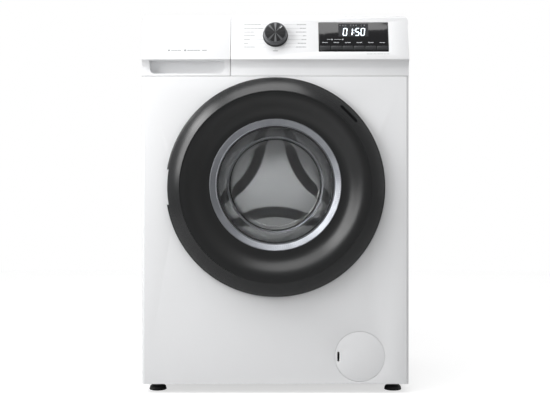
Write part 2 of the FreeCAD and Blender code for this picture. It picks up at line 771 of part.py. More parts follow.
def tub_rear_half():
    yi = size.tub_rear - 8
    body = turned("tub_rear_shell", [
        (size.tub_split, size.tub_inner), (yi, size.tub_inner), (yi, size.bearing_outer),
        (size.hub_rear, size.bearing_outer), (size.hub_rear, size.hub_radius), (size.tub_rear, size.hub_radius),
        (size.tub_rear, size.tub_outer), (size.tub_split + 6, size.tub_outer), (size.tub_split + 6, size.tub_flange),
        (size.tub_split, size.tub_flange)], size.drum_height)
    low = size.drum_height - size.tub_inner
    slot = new_sketch(body, "XZ", "heater_slot", yi - 1)
    rectangle(slot, -36, 0.8 - size.tub_inner, 36, 13 - size.tub_inner)
    pocket(body, slot, 12)
    lugs = [box("motor_lug", (-20, 55, size.motor_height + size.motor_radius + 2), (20, 95, low + 0.5))]
    for side, name in ((-1, "left"), (1, "right")):
        x, y = size.damper_x * side, size.damper_y
        lugs.append(box(f"damper_lug_{name}", (x - 12, y - 12, 240), (x + 12, y + 12, 268)))
        x, y = size.spring_x * side, size.spring_y
        inner = x - 50 if side > 0 else x - 14
        lugs.append(box(f"spring_lug_{name}", (inner, y - 10, size.spring_low - 15),
                        (inner + 64, y + 10, size.spring_low)))
    inlet = cylinder("tub_inlet", (-205, 60, 627), 20, 45)
    return fuse("tub_rear_half", body, inlet, *lugs)


def tub_front_half():
    yf, flange = size.tub_front, size.tub_flange
    body = turned("tub_front_shell", [
        (size.tub_split, size.tub_inner), (size.tub_split, flange), (size.tub_split - 6, flange),
        (size.tub_split - 6, size.tub_outer), (yf, size.tub_outer), (yf, size.tub_neck + 4),
        (yf - 11, size.tub_neck + 4), (yf - 11, size.tub_neck), (yf + 6, size.tub_neck), (yf + 6, size.tub_inner)],
        size.drum_height)
    return fuse("tub_front_half", body, cylinder("sump_spigot", (110, -130, 192), 20, 35))


def ring(label, front, rear, inner, outer):
    return turned(label, [(front, inner), (front, outer), (rear, outer), (rear, inner)], size.drum_height)


def front_counterweight():
    return ring("front_counterweight", size.tub_front - 21, size.tub_front, 180, 250)


def top_counterweight():
    block = box("weight_block", (-95, 25, 690), (95, 150, 772))
    clearance = cylinder("tub_clearance", (0, 0, size.drum_height), size.tub_outer, 200, "Y")
    return cut("top_counterweight", block, clearance)


def drum_bearings():
    return group("drum_bearings", [ring("front_bearing", 164, 180, 15, size.bearing_outer),
                                   ring("rear_bearing", 196, 212, 15, size.bearing_outer)])


def heater():
    """Two straight legs under the drum, joined by a bend, on a plug in the tub's rear wall."""
    z = size.drum_height - 249.4
    legs = [cylinder(f"heater_leg_{n}", (x, 0, z), 3.4, size.tub_rear - 9, "Y") for n, x in enumerate((-22, 22))]
    bend = doc.addObject("Part::Torus", "heater_bend")
    bend.Radius1 = 22
    bend.Radius2 = 3.4
    bend.Angle3 = 180
    place(bend, 0, 0, z, FreeCAD.Rotation(V(0, 0, 1), 180))
    plug = box("heater_plug", (-35, size.tub_rear - 9, z - 5), (35, size.tub_rear + 4, z + 5))
    return fuse("heater", *legs, bend, plug)


def motor_body():
    z = size.motor_height
    body = turned("motor_can", [(20, 0), (20, 48), (26, size.motor_radius), (184, size.motor_radius), (190, 48),
                                (190, 6.05), (168, 6.05), (168, 0)], z)
    return fuse("motor_body", body,
                box("motor_foot", (-20, 55, z + size.motor_radius - 12), (20, 95, z + size.motor_radius + 2)))


def motor_pulley():
    r, y0, y1 = size.motor_pulley_radius, size.pulley_front, size.pulley_rear
    return turned("motor_pulley", [
        (170, 0), (170, 6), (y0 - 3, 6), (y0 - 3, r + 3), (y0, r + 3), (y0, r), (y1, r), (y1, r + 3), (y1 + 2, r + 3),
        (y1 + 2, 0)], size.motor_height)


def belt_loop(sketch, large, small, drop):
    """A loop round two circles, one below the other: two arcs and two tangent lines."""
    angle = math.asin((large.value - small.value) / drop.value)
    ends = [(radius.value * math.cos(angle), centre + radius.value * math.sin(angle))
            for radius, centre in ((large, 0), (small, -drop.value))]
    (big_x, big_y), (small_x, small_y) = ends
    top = Part.ArcOfCircle(Part.Circle(V(0, 0, 0), V(0, 0, 1), large.value), angle, math.pi - angle)
    low = Part.ArcOfCircle(Part.Circle(V(0, -drop.value, 0), V(0, 0, 1), small.value), math.pi - angle,
                           2 * math.pi + angle)
    pieces = [top, Part.LineSegment(V(-big_x, big_y, 0), V(-small_x, small_y, 0)), low,
              Part.LineSegment(V(small_x, small_y, 0), V(big_x, big_y, 0))]
    edges = [sketch.addGeometry(piece, False) for piece in pieces]
    for edge, radius, level in ((edges[0], large, 0), (edges[2], small, -drop)):
        hold(sketch, "Radius", (edge,), radius)
        hold_point(sketch, edge, 3, (as_length(0), as_length(level)))
    for edge, following in zip(edges, edges[1:] + edges[:1]):
        sketch.addConstraint(Sketcher.Constraint("Tangent", edge, 2, following, 1))


def drive_belt():
    body = new_body("drive_belt")
    sketch = new_sketch(body, "XZ", "belt_path", size.pulley_rear - 2)
    drop = size.drum_height - size.motor_height
    for thickness in (0.4, size.belt_thickness):
        belt_loop(sketch, size.drum_pulley_radius + thickness, size.motor_pulley_radius + thickness, drop)
    pad(body, sketch, 14)
    return place(body, z=size.drum_height)


def damper_cylinders():
    profile = [(0, 22.8), (18, 22.8), (18, 185), (15, 185), (15, 60), (0, 60)]
    return group("damper_cylinders", [upright(f"damper_cylinder_{n}", profile, size.damper_x * side, size.damper_y)
                                      for n, side in enumerate((-1, 1), start=1)])


def damper_rods():
    profile = [(0, 100), (14.6, 100), (14.6, 125), (6, 125), (6, 240), (0, 240)]
    return group("damper_rods", [upright(f"damper_rod_{n}", profile, size.damper_x * side, size.damper_y)
                                 for n, side in enumerate((-1, 1), start=1)])


def coil_spring(label, x):
    """A close wound spring as its envelope: a ribbed sleeve, one rib a turn."""
    low, high, mean, wire = size.spring_low + 0.2, size.spring_high - 0.2, 12, 1.9
    turns = 16
    pitch = (high - low) / turns
    body = new_body(label)
    corners = [(mean - wire, low), (mean, low)]
    for number in range(turns):
        corners.append((mean + wire, low + pitch * (number + 0.5)))
        corners.append((mean, low + pitch * (number + 1)))
    corners.append((mean - wire, high))
    turn(body, outline(new_sketch(body, "XZ", f"{label}_profile"), corners), "V_Axis")
    return place(body, x=x, y=size.spring_y)


def suspension_springs():
    return group("suspension_springs", [coil_spring("spring_left", -size.spring_x),
                                        coil_spring("spring_right", size.spring_x)])


def bellows(label, x, y, low, high, radius, folds):
    """A ribbed rubber sleeve that shortens and lengthens with the tub."""
    pitch = (high - low) / folds
    wall = 2.5
    outer = [(radius + wall, low)]
    inner = [(radius, low)]
    for number in range(folds):
        for shift, swell in ((0.5, 4), (1, 0)):
            level = low + pitch * (number + shift)
            outer.append((radius + wall + swell, level))
            inner.append((radius + swell, level))
    return upright(label, outer + inner[::-1], x, y)


def door_gasket():
    """A rubber ring from the porthole's edge to the tub's neck, with one fold."""
    front, neck, r = panel_y, size.tub_front - 11, size.porthole_radius
    lip, groove, sleeve = r + 6, r - 0.4, size.tub_neck + 4.2
    return turned("door_gasket", [
        (front - 1.4, r - 4), (front - 1.4, lip), (front - 0.2, lip), (front - 0.2, groove), (front + 1.2, groove),
        (front + 1.2, lip), (front + 4, lip), (front + 4, r + 1), (front + 12, r + 5), (front + 20, r + 11),
        (neck - 3, r + 4), (neck - 0.5, sleeve + 3.8), (neck + 10.5, sleeve + 3.8), (neck + 10.5, sleeve),
        (neck - 1.5, sleeve), (neck - 5, r + 1), (front + 20, r + 6.5), (front + 12, r + 0.5),
        (front + 6, r - 4)], size.drum_height)


# ---- drum ----

def drum_shell():
    y0, y1, r, m = size.drum_front, size.drum_rear, size.drum_radius, size.drum_mouth
    return turned("drum_shell", [(y0, m), (y0, r - 6), (y0 + 6, r, -6), (y1, r), (y1, r - 1), (y0 + 6, r - 1),
                                 (y0 + 1, r - 6, 5), (y0 + 1, m + 2), (y0 + 5, m + 2), (y0 + 5, m)],
                  size.drum_height)


def drum_back():
    """The pressed rear disc, with a raised three-armed star."""
    body = new_body("drum_back")
    disc = circle(new_sketch(body, "XZ", "back_disc", size.drum_rear), 0, 0, size.drum_radius - 1.2)
    pad(body, disc, 2)
    star = circle(new_sketch(body, "XZ", "star_disc", size.drum_rear - 2), 0, 0, size.star_reach)
    pad(body, star, 20)
    bite_distance = (size.star_fillet * 2 + size.star_width) / math.sqrt(3)
    for number, angle in enumerate((30, 150, 270), start=1):
        along = math.radians(angle)
        bite = new_sketch(body, "XZ", f"star_bite_{number}", size.drum_rear - 22)
        circle(bite, bite_distance * math.cos(along), bite_distance * math.sin(along), size.star_fillet)
        pocket(body, bite, 20)
    return place(body, z=size.drum_height)


def drum_lifters():
    """Three paddles inside the drum, between the star's arms."""
    lifters = []
    r = size.drum_radius - 1.3
    for number, angle in enumerate((30, 150, 270), start=1):
        body = new_body(f"lifter_{number}")
        half = size.lifter_width / 2
        section = new_sketch(body, "XZ", f"lifter_section_{number}", 100)
        outline(section, [(-half, 8 - r), (-half + 5, 3.2 - r), (half - 5, 3.2 - r), (half, 8 - r),
                          (12, size.lifter_height - r), (-12, size.lifter_height - r, 14)])
        pad(body, section, 260)
        place(body, z=size.drum_height, rotation=FreeCAD.Rotation(V(0, 1, 0), -(angle + 90)))
        lifters.append(body)
    return group("drum_lifters", lifters)


def drum_spider():
    """The three-armed casting behind the drum, with the shaft."""
    y0 = size.drum_rear
    arms = []
    for number, angle in enumerate((0, 120, 240), start=1):
        arm = box(f"spider_arm_{number}", (-18, y0, 0), (18, y0 + 14, size.drum_radius - 8))
        turn_by = FreeCAD.Rotation(V(0, 1, 0), angle)
        corner = turn_by.multVec(V(-18, 0, 0))
        place(arm, corner.x, y0, size.drum_height + corner.z, turn_by)
        arms.append(arm)
    hub = cylinder("spider_hub", (0, y0, size.drum_height), 40, 18, "Y")
    shaft_length = size.pulley_rear - y0 + 6
    shaft = cylinder("drum_shaft", (0, y0, size.drum_height), size.shaft_radius, shaft_length, "Y")
    return fuse("drum_spider", *arms, hub, shaft)


def drum_pulley():
    y0, y1, r, shaft = size.pulley_front, size.pulley_rear, size.drum_pulley_radius, size.shaft_radius
    rim = turned("pulley_wheel", [
        (y0, shaft), (y0, 30), (y0 + 7, 34), (y0 + 7, r - 10), (y0, r - 6), (y0, r), (y1, r), (y1, r - 6),
        (y0 + 11, r - 10), (y0 + 11, 34), (y1, 30), (y1, shaft)], size.drum_height)
    openings = [cylinder(f"pulley_opening_{n}",
                         (82 * math.cos(n * math.pi / 3), y0 - 1, size.drum_height + 82 * math.sin(n * math.pi / 3)),
                         26, 22, "Y") for n in range(6)]
    return cut("drum_pulley", rim, fuse("pulley_openings", *openings))


# ---- door ----

def door_outer_ring():
    """The bevelled ring: back edge, rounded rim, bevel and ridge, with room for the hinge."""
    r, ridge, t, yb, yn = size.door_radius, size.ridge_radius, size.door_shell, size.door_back, -half_depth
    body = turned("door_outer_ring", [
        (yb, r), (yb - 4.5, r), (yb - 8.6, r - 2.9, 5), (yn + 0.6, ridge + 1, 60), (yn, ridge - 0.2, 1.5),
        (yn, ridge - 1.2), (yn + t, ridge - 1.2), (yn + t, ridge + 1), (yb - 6.6, r - 5), (yb, r - t)],
        size.door_height)
    notch = new_sketch(body, "XY", "hinge_notch", size.hinge_half)
    rectangle(notch, -r - 1, size.hinge_y - 2.8, -r + 26, yb + 1)
    pocket(body, notch, size.hinge_half * 2)
    slot = new_sketch(body, "XZ", "grip_slot", yn - 1)
    tangential_slot(slot, 25, 3.2)
    pocket(body, slot, 24)
    return body


def tangential_slot(sketch, half_length, half_width_of_slot):
    """A slot across the upper right of the ring, at right angles to its radius."""
    radius, diagonal = 229.0, math.sqrt(0.5)
    points = []
    for along, out in ((-1, -1), (1, -1), (1, 1), (-1, 1)):
        tangential, radial = along * half_length, radius + out * half_width_of_slot
        points.append((diagonal * (radial - tangential), diagonal * (radial + tangential)))
    outline(sketch, points[::-1])


def grip_slot_insert():
    body = new_body("grip_slot_insert")
    slot = new_sketch(body, "XZ", "insert_outline", size.door_back - 5.5)
    tangential_slot(slot, 24.7, 2.9)
    pad(body, slot, 7)
    return place(body, z=size.door_height)


def door_cowl():
    """The dished surround between the ridge and the glass, whose opening sits a little higher."""
    yn, top, glass = -half_depth, size.ridge_radius - 1.6, size.glass_radius
    lift = size.drum_height - size.door_height
    body = new_body("door_cowl")
    stations = [(yn + 0.4, 0, top), (yn + 14, 0.35, top - 19), (yn + 22, 0.7, glass + 26),
                (size.door_back - 4, 1, glass + 3)]
    for kind, extra, reach in (("AdditiveLoft", 3, 0), ("SubtractiveLoft", 0, 0.3)):
        sketches = []
        for number, (y, share, radius) in enumerate(stations):
            shift = reach if number == len(stations) - 1 else (-reach if number == 0 else 0)
            level = y + shift
            wall = 0 if (number == 0 and kind == "AdditiveLoft") else extra
            sketch = new_sketch(body, "XZ", f"{kind.lower()}_{number}", level)
            circle(sketch, 0, lift * share, radius + wall - (0.8 if number == 0 and kind == "SubtractiveLoft" else 0))
            sketches.append(sketch)
        loft = body.newObject(f"PartDesign::{kind}", f"cowl_{kind.lower()}")
        loft.Profile = sketches[0]
        loft.Sections = sketches[1:]
        for sketch in sketches:
            sketch.Visibility = False
    return place(body, z=size.door_height)


def door_glass():
    """The bowl: a flange, a tapering wall and a flat end."""
    r, b, t, yb, ye = size.glass_radius, size.bowl_radius, size.glass_wall, size.door_back, size.bowl_reach
    return turned("door_glass", [
        (yb + 0.2, r + 9), (yb - 2.8, r + 9), (yb - 2.8, r - t + 3), (ye - 12 - t, b - t + 3),
        (ye - t, b - 20 + t / 2, -20),
        (ye - t, 0), (ye, 0), (ye, b - 14), (ye - 14, b + 3, 17), (yb + 0.2, r + 3)], size.drum_height)


def door_inner_frame():
    """The ring that closes the door's back, with the hinge's and the latch's openings."""
    yb = size.door_back
    body = turned("door_inner_frame", [(yb + 0.3, 163), (yb + 4.8, 163), (yb + 4.8, 238.5), (yb + 0.3, 238.5)],
                  size.door_height)
    holes = new_sketch(body, "XZ", "frame_openings", yb - 1)
    rectangle(holes, -245, -size.hinge_half, -188, size.hinge_half)
    rectangle(holes, size.latch_x - 9, -13, size.latch_x + 9, 13)
    pocket(body, holes, 8)
    return body


def hinge_bracket():
    """A plate behind the front panel with two curved arms that reach out to the pin."""
    x, y, z = size.hinge_x, size.hinge_y, size.door_height
    inside = panel_y + size.sheet
    body = new_body("hinge_bracket")
    plate = rectangle(new_sketch(body, "XZ", "bracket_plate", inside + 3), x + 8, z - size.hinge_half, x + 54,
                      z + size.hinge_half, 6)
    pad(body, plate, 3)
    for number, middle in enumerate((z - 30, z + 30), start=1):
        arm = new_sketch(body, "XY", f"bracket_arm_{number}", middle - 4)
        outline(arm, [(x - 1.75, y + 3.03), (x + 1.75, y - 3.03, 3.5), (x + 38, y + 12), (x + 38, inside + 1),
                      (x + 17, inside + 1)])
        circle(arm, x, y, size.pin_radius)
        pad(body, arm, 8)
    return body


def hinge_pin():
    return cylinder("hinge_pin", (size.hinge_x, size.hinge_y, size.door_height - 37), size.pin_radius, 74)


def hinge_leaf():
    """The door's half of the hinge: a barrel round the pin and a plate on the frame."""
    x, y, z = size.hinge_x, size.hinge_y, size.door_height
    body = new_body("hinge_leaf")
    plan = new_sketch(body, "XY", "leaf_plan", z - 25)
    outline(plan, [(x, y - 4), (x + 52, y - 1), (x + 52, size.door_back + 0.3),
                   (x + 35, size.door_back + 0.3), (x, y + 4)])
    pad(body, plan, 50)
    barrel = circle(new_sketch(body, "XY", "leaf_barrel", z - 25), x, y, 4)
    pad(body, barrel, 50)
    bore = circle(new_sketch(body, "XY", "leaf_bore", z + 26), x, y, size.pin_radius + 0.05)
    pocket(body, bore, 52)
    return body


def latch_hook():
    """The sprung hook on the door's back, on its own pin."""
    x, z = size.latch_x, size.door_height
    arm = box("hook_arm", (x - 4, -266, z - 7), (x + 3, -243, z + 7))
    nib = box("hook_nib", (x + 2, -248, z - 7), (x + 7, -243, z + 7))
    pin = cylinder("hook_pin", (x, -267, z - 11), 3, 22)
    return fuse("latch_hook", arm, nib, pin)


def door_lock():
    """The lock behind the panel, with the pocket that the hook enters."""
    x, z, y = size.latch_x, size.door_height, panel_y + size.sheet
    shell = box("lock_case", (x - 14, y, z - 36), (x + 18, y + 15, z + 44))
    hollow = box("lock_pocket", (x - 10, y - 1, z - 15), (x + 13, y + 12.5, z + 15))
    return cut("door_lock", shell, hollow)


# ---- the whole machine ----

def make_parts():
    key_names = ["temperature_key", "spin_key", "extra_rinse_key", "delay_key", "options_key", "start_pause_key"]
    builders = [
        cabinet_wrap, front_panel, base_tray, levelling_feet, foot_lock_nuts, worktop, top_frame, rear_access_cover,
        cabinet_screws, control_fascia, display_window, display_module, knob_skirt, knob_cap,
        drawer_front, detergent_tray, dispenser_housing, inlet_valve, fixed_hoses, power_inlet,
        drain_spigot, drain_pump, pump_filter, flap_frame, service_flap, tub_rear_half, tub_front_half,
        front_counterweight, top_counterweight, drum_bearings, heater, motor_body, motor_pulley, drive_belt,
        damper_cylinders, damper_rods, suspension_springs, door_gasket, drum_shell, drum_back,
        drum_lifters, drum_spider, drum_pulley, door_outer_ring, grip_slot_insert, door_cowl, door_glass,
        door_inner_frame, hinge_bracket, hinge_pin, hinge_leaf, latch_hook, door_lock]
    made = [build() for build in builders]
    made += [key(name, left, right) for name, (left, right) in zip(key_names, key_spans())]
    made.append(group("tub_hoses", [bellows("sump_hose", 110, -130, 118, 208, 20.3, 6),
                                    bellows("fill_hose", -205, 60, 662, 706, 20.3, 4)]))
    return made


def check(items):
    """Stop on any object that failed, or any sub-part without one sound shape."""
    doc.recompute()
    for item in doc.Objects:
        if "Invalid" in item.State or "Error" in item.State:
            raise RuntimeError(f"{item.Label} failed: {item.State}")
    for item in items:
        if item.Shape.isNull() or not item.Shape.isValid():
            raise RuntimeError(f"{item.Label} has no valid shape")
        print(f"{item.Label}: {len(item.Shape.Solids)} solid(s), {item.Shape.Volume / 1000:.1f} cm3")


fill_sheet()
PARTS = make_parts()
check(PARTS)
os.makedirs("parts", exist_ok=True)
for part in PARTS:
    part.Shape.exportStep(f"parts/{part.Label}.step")
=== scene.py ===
import json
import math

import bmesh
import bpy
from mathutils import Matrix, Vector


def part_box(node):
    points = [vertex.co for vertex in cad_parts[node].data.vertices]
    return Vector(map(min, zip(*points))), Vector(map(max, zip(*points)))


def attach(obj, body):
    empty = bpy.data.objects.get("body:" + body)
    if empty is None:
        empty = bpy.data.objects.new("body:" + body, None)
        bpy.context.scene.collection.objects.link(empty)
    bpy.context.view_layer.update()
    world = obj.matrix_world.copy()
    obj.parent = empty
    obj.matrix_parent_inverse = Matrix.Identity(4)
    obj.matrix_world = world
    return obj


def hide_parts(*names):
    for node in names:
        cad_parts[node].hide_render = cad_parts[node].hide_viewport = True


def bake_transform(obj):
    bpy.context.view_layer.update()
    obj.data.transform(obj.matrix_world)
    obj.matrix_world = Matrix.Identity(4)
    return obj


# The looks of a front-loading washing machine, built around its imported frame. Metres.

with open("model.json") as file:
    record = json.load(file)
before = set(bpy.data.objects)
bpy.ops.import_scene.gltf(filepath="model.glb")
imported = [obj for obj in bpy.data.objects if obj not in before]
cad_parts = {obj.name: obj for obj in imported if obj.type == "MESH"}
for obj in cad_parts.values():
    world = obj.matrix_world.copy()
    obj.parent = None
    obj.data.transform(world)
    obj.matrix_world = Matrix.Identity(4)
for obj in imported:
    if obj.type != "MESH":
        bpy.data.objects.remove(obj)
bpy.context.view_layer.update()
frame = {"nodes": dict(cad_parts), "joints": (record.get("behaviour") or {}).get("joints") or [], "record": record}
JOINTS = {joint["name"]: joint for joint in frame["joints"]}
MM = 0.001


# ---- places, read from the frame ----

def middle(node):
    low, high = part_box(node)
    return (low + high) / 2


def span(node):
    low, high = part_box(node)
    return high - low


PANEL_LOW, PANEL_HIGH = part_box("front_panel")
RING_LOW, RING_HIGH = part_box("door_outer_ring")
GLASS_LOW, GLASS_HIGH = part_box("door_glass")
DOOR_CENTRE = Vector((0, 0, (RING_LOW.z + RING_HIGH.z) / 2))
DRUM_CENTRE = Vector((0, 0, middle("drum_shell").z))
SELECTOR = Vector(JOINTS["programme_selector"]["pos_m"])
FACE_OUT = Vector(JOINTS["programme_selector"]["axis"]).normalized()
FACE_UP = Vector((0, FACE_OUT.z, -FACE_OUT.y))
LEAN = math.atan2(FACE_OUT.z, -FACE_OUT.y)


def on_face(x=0.0, along=0.0, height=0.0):
    """The control panel's own frame: X right, Y up the leaning face, Z out of it, zero at the selector."""
    origin = SELECTOR + Vector((x, 0, 0)) + FACE_UP * along + FACE_OUT * height
    return Matrix.Translation(origin) @ Matrix((
        (1, FACE_UP.x, FACE_OUT.x, 0), (0, FACE_UP.y, FACE_OUT.y, 0), (0, FACE_UP.z, FACE_OUT.z, 0), (0, 0, 0, 1)))


def face_place(node):
    """A node's middle in the control panel's frame."""
    return on_face().inverted() @ middle(node)


def face_length(node, thickness):
    """A flat node's length up the leaning face, from the height of its box."""
    return (span(node).z - thickness * math.sin(LEAN)) / math.cos(LEAN)


# ---- meshes ----

def new_piece(name, vertices, faces, matrix=None):
    mesh = bpy.data.meshes.new(name)
    mesh.from_pydata([tuple(vertex) for vertex in vertices], [], faces)
    return link(name, mesh, matrix)


def link(name, mesh, matrix=None):
    piece = bpy.data.objects.new(name, mesh)
    bpy.context.scene.collection.objects.link(piece)
    if matrix is not None:
        piece.matrix_world = matrix
    return piece


def mend(piece):
    """Merge doubles and turn the normals outwards."""
    work = bmesh.new()
    work.from_mesh(piece.data)
    bmesh.ops.remove_doubles(work, verts=work.verts, dist=1e-6)
    bmesh.ops.recalc_face_normals(work, faces=work.faces)
    work.to_mesh(piece.data)
    work.free()
    return piece


def settle(piece):
    """Apply the modifiers."""
    bpy.context.view_layer.update()
    evaluated = piece.evaluated_get(bpy.context.evaluated_depsgraph_get())
    mesh = bpy.data.meshes.new_from_object(evaluated)
    piece.modifiers.clear()
    piece.data = mesh
    return piece


def smooth(piece, angle=35):
    piece.data.shade_smooth()
    piece.data.set_sharp_from_angle(angle=math.radians(angle))
    return piece


def bevel(piece, width, segments=3, angle=35):
    modifier = piece.modifiers.new("edges", "BEVEL")
    modifier.width = width
    modifier.segments = segments
    modifier.limit_method = "ANGLE"
    modifier.angle_limit = math.radians(angle)
    modifier.use_clamp_overlap = True
    modifier.harden_normals = False
    return settle(piece)


def carve(piece, cutters, operation="DIFFERENCE"):
    for cutter in cutters:
        modifier = piece.modifiers.new("carve", "BOOLEAN")
        modifier.operation = operation
        modifier.solver = "EXACT"
        modifier.object = cutter
        settle(piece)
        bpy.data.objects.remove(cutter)
    return piece


def rounded_path(points, steps=6):
    """A polyline whose corners are arcs: a corner is (a, b) or (a, b, radius)."""
    path = []
    count = len(points)
    for index, point in enumerate(points):
        here = Vector(point[:2])
        radius = point[2] if len(point) > 2 else 0
        before = Vector(points[index - 1][:2]) - here
        after = Vector(points[(index + 1) % count][:2]) - here
        if radius == 0 or before.length == 0 or after.length == 0:
            path.append(here)
            continue
        before.normalize()
        after.normalize()
        half = before.angle(after) / 2
        reach = radius / math.tan(half)
        centre = here + (before + after).normalized() * (radius / math.sin(half))
        start = here + before * reach - centre
        turn = (math.pi - 2 * half) * (1 if before.x * after.y - before.y * after.x < 0 else -1)
        for step in range(steps + 1):
            path.append(centre + Matrix.Rotation(turn * step / steps, 2) @ start)
    return path


def lathe(name, profile, centre, segments=160, closed=True, shifts=None):
    """Turn a (y, radius) profile about an axis that runs front to back through centre.

    shifts moves each profile point's centre up, for a surround whose opening is off centre."""
    vertices, faces = [], []
    count = len(profile)
    for index, (y, radius) in enumerate(profile):
        lift = shifts[index] if shifts else 0
        for step in range(segments):
            angle = 2 * math.pi * step / segments
            vertices.append((centre.x + radius * math.cos(angle), y, centre.z + lift + radius * math.sin(angle)))
    for index in range(count if closed else count - 1):
        here, there = index * segments, ((index + 1) % count) * segments
        for step in range(segments):
            following = (step + 1) % segments
            faces.append((here + step, there + step, there + following, here + following))
    return mend(new_piece(name, vertices, faces))


def prism(name, outline, start, end, axis="X", matrix=None):
    """A straight piece: a closed outline carried along X, Y or Z."""
    place = {"X": lambda a, b, c: (c, a, b), "Y": lambda a, b, c: (a, c, b), "Z": lambda a, b, c: (a, b, c)}[axis]
    count = len(outline)
    vertices = [place(a, b, end_value) for end_value in (start, end) for a, b in outline]
    faces = [(i, (i + 1) % count, count + (i + 1) % count, count + i) for i in range(count)]
    faces += [tuple(range(count)), tuple(range(2 * count - 1, count - 1, -1))]
    return mend(new_piece(name, vertices, faces, matrix))


def rectangle(left, low, right, high, radius=0.0):
    corners = [(left, low, radius), (right, low, radius), (right, high, radius), (left, high, radius)]
    return rounded_path(corners, 6)


def refined(name, node, width=0.0, segments=2, angle=30):
    """A finished copy of a CAD node: flat faces joined, edges rounded, smooth where it curves."""
    piece = link(name, frame["nodes"][node].data.copy())
    piece.data.materials.clear()
    work = bmesh.new()
    work.from_mesh(piece.data)
    bmesh.ops.remove_doubles(work, verts=work.verts, dist=2e-6)
    bmesh.ops.dissolve_limit(work, angle_limit=math.radians(0.5), verts=work.verts, edges=work.edges)
    bmesh.ops.recalc_face_normals(work, faces=work.faces)
    work.to_mesh(piece.data)
    work.free()
    if width:
        bevel(piece, width, segments, angle)
    return smooth(piece, 30)


# ---- materials ----

def shader_of(name):
    material = bpy.data.materials.new(name)
    material.use_nodes = True
    return material, material.node_tree.nodes, material.node_tree.links, material.node_tree.nodes["Principled BSDF"]


def noise(nodes, links, scale, detail=4.0, stretch=(1, 1, 1), roughness=0.55):
    """Noise in the piece's own coordinates, with features about 1/scale metres across."""
    coordinates = nodes.new("ShaderNodeTexCoord")
    mapping = nodes.new("ShaderNodeMapping")
    mapping.inputs["Scale"].default_value = stretch
    texture = nodes.new("ShaderNodeTexNoise")
    texture.inputs["Scale"].default_value = scale
    texture.inputs["Detail"].default_value = detail
    texture.inputs["Roughness"].default_value = roughness
    links.new(coordinates.outputs["Object"], mapping.inputs["Vector"])
    links.new(mapping.outputs["Vector"], texture.inputs["Vector"])
    return texture.outputs["Fac"]


def spread(nodes, links, source, low, high):
    """Stretch a noise value over a range."""
    node = nodes.new("ShaderNodeMapRange")
    node.inputs["From Min"].default_value = 0.3
    node.inputs["From Max"].default_value = 0.7
    node.inputs["To Min"].default_value = low
    node.inputs["To Max"].default_value = high
    links.new(source, node.inputs["Value"])
    return node.outputs["Result"]


def tint(nodes, links, source, dark, light):
    node = nodes.new("ShaderNodeMix")
    node.data_type = "RGBA"
    node.inputs["A"].default_value = (*dark, 1)
    node.inputs["B"].default_value = (*light, 1)
    links.new(source, node.inputs["Factor"])
    return node.outputs["Result"]


def bump(nodes, links, source, shader, depth, strength=1.0):
    node = nodes.new("ShaderNodeBump")
    node.inputs["Distance"].default_value = depth
    node.inputs["Strength"].default_value = strength
    links.new(source, node.inputs["Height"])
    links.new(node.outputs["Normal"], shader.inputs["Normal"])


def surface(name, colour, roughness, metallic=0.0, coat=0.0, grain=900, depth=0.00002, shade=0.04, wander=0.05,
            stretch=(1, 1, 1), mottle=14):
    """A material with slow changes of shade, an uneven gloss and a fine grain."""
    material, nodes, links, shader = shader_of(name)
    shader.inputs["Metallic"].default_value = metallic
    shader.inputs["Coat Weight"].default_value = coat
    shader.inputs["Coat Roughness"].default_value = 0.08
    slow = noise(nodes, links, mottle, 5)
    fine = noise(nodes, links, grain, 3, stretch)
    dark = [channel * (1 - shade) for channel in colour]
    light = [min(channel * (1 + shade), 1) for channel in colour]
    links.new(tint(nodes, links, slow, dark, light), shader.inputs["Base Color"])
    links.new(spread(nodes, links, fine, roughness - wander, roughness + wander), shader.inputs["Roughness"])
    bump(nodes, links, fine, shader, depth)
    return material


def brushed(name, colour, roughness, stretch, depth=0.00001):
    return surface(name, colour, roughness, metallic=1.0, grain=700, depth=depth, shade=0.06, wander=0.08,
                   stretch=stretch, mottle=9)


def glowing(name, colour, strength):
    """A lit display segment, a little uneven like a real one."""
    material, nodes, links, shader = shader_of(name)
    shader.inputs["Base Color"].default_value = (*colour, 1)
    shader.inputs["Emission Color"].default_value = (*colour, 1)
    links.new(spread(nodes, links, noise(nodes, links, 700, 2), strength * 0.85, strength),
              shader.inputs["Emission Strength"])
    return material


def clear_glass(name):
    material, nodes, links, shader = shader_of(name)
    links.new(tint(nodes, links, noise(nodes, links, 12, 2), (0.94, 0.955, 0.96), (0.98, 0.985, 0.985)),
              shader.inputs["Base Color"])
    shader.inputs["Transmission Weight"].default_value = 1.0
    shader.inputs["IOR"].default_value = 1.47
    shader.inputs["Roughness"].default_value = 0.0
    return material


def radial_lines(nodes, links, count, centre_z=0.0, plane="XZ"):
    """A wave that repeats round an axis: count times a turn."""
    coordinates = nodes.new("ShaderNodeTexCoord")
    split = nodes.new("ShaderNodeSeparateXYZ")
    links.new(coordinates.outputs["Object"], split.inputs["Vector"])
    second = split.outputs["Z"] if plane == "XZ" else split.outputs["Y"]
    if centre_z:
        lower = nodes.new("ShaderNodeMath")
        lower.operation = "SUBTRACT"
        lower.inputs[1].default_value = centre_z
        links.new(second, lower.inputs[0])
        second = lower.outputs[0]
    angle = nodes.new("ShaderNodeMath")
    angle.operation = "ARCTAN2"
    links.new(second, angle.inputs[0])
    links.new(split.outputs["X"], angle.inputs[1])
    times = nodes.new("ShaderNodeMath")
    times.operation = "MULTIPLY"
    times.inputs[1].default_value = count
    links.new(angle.outputs[0], times.inputs[0])
    wave = nodes.new("ShaderNodeMath")
    wave.operation = "SINE"
    links.new(times.outputs[0], wave.inputs[0])
    return wave.outputs[0]


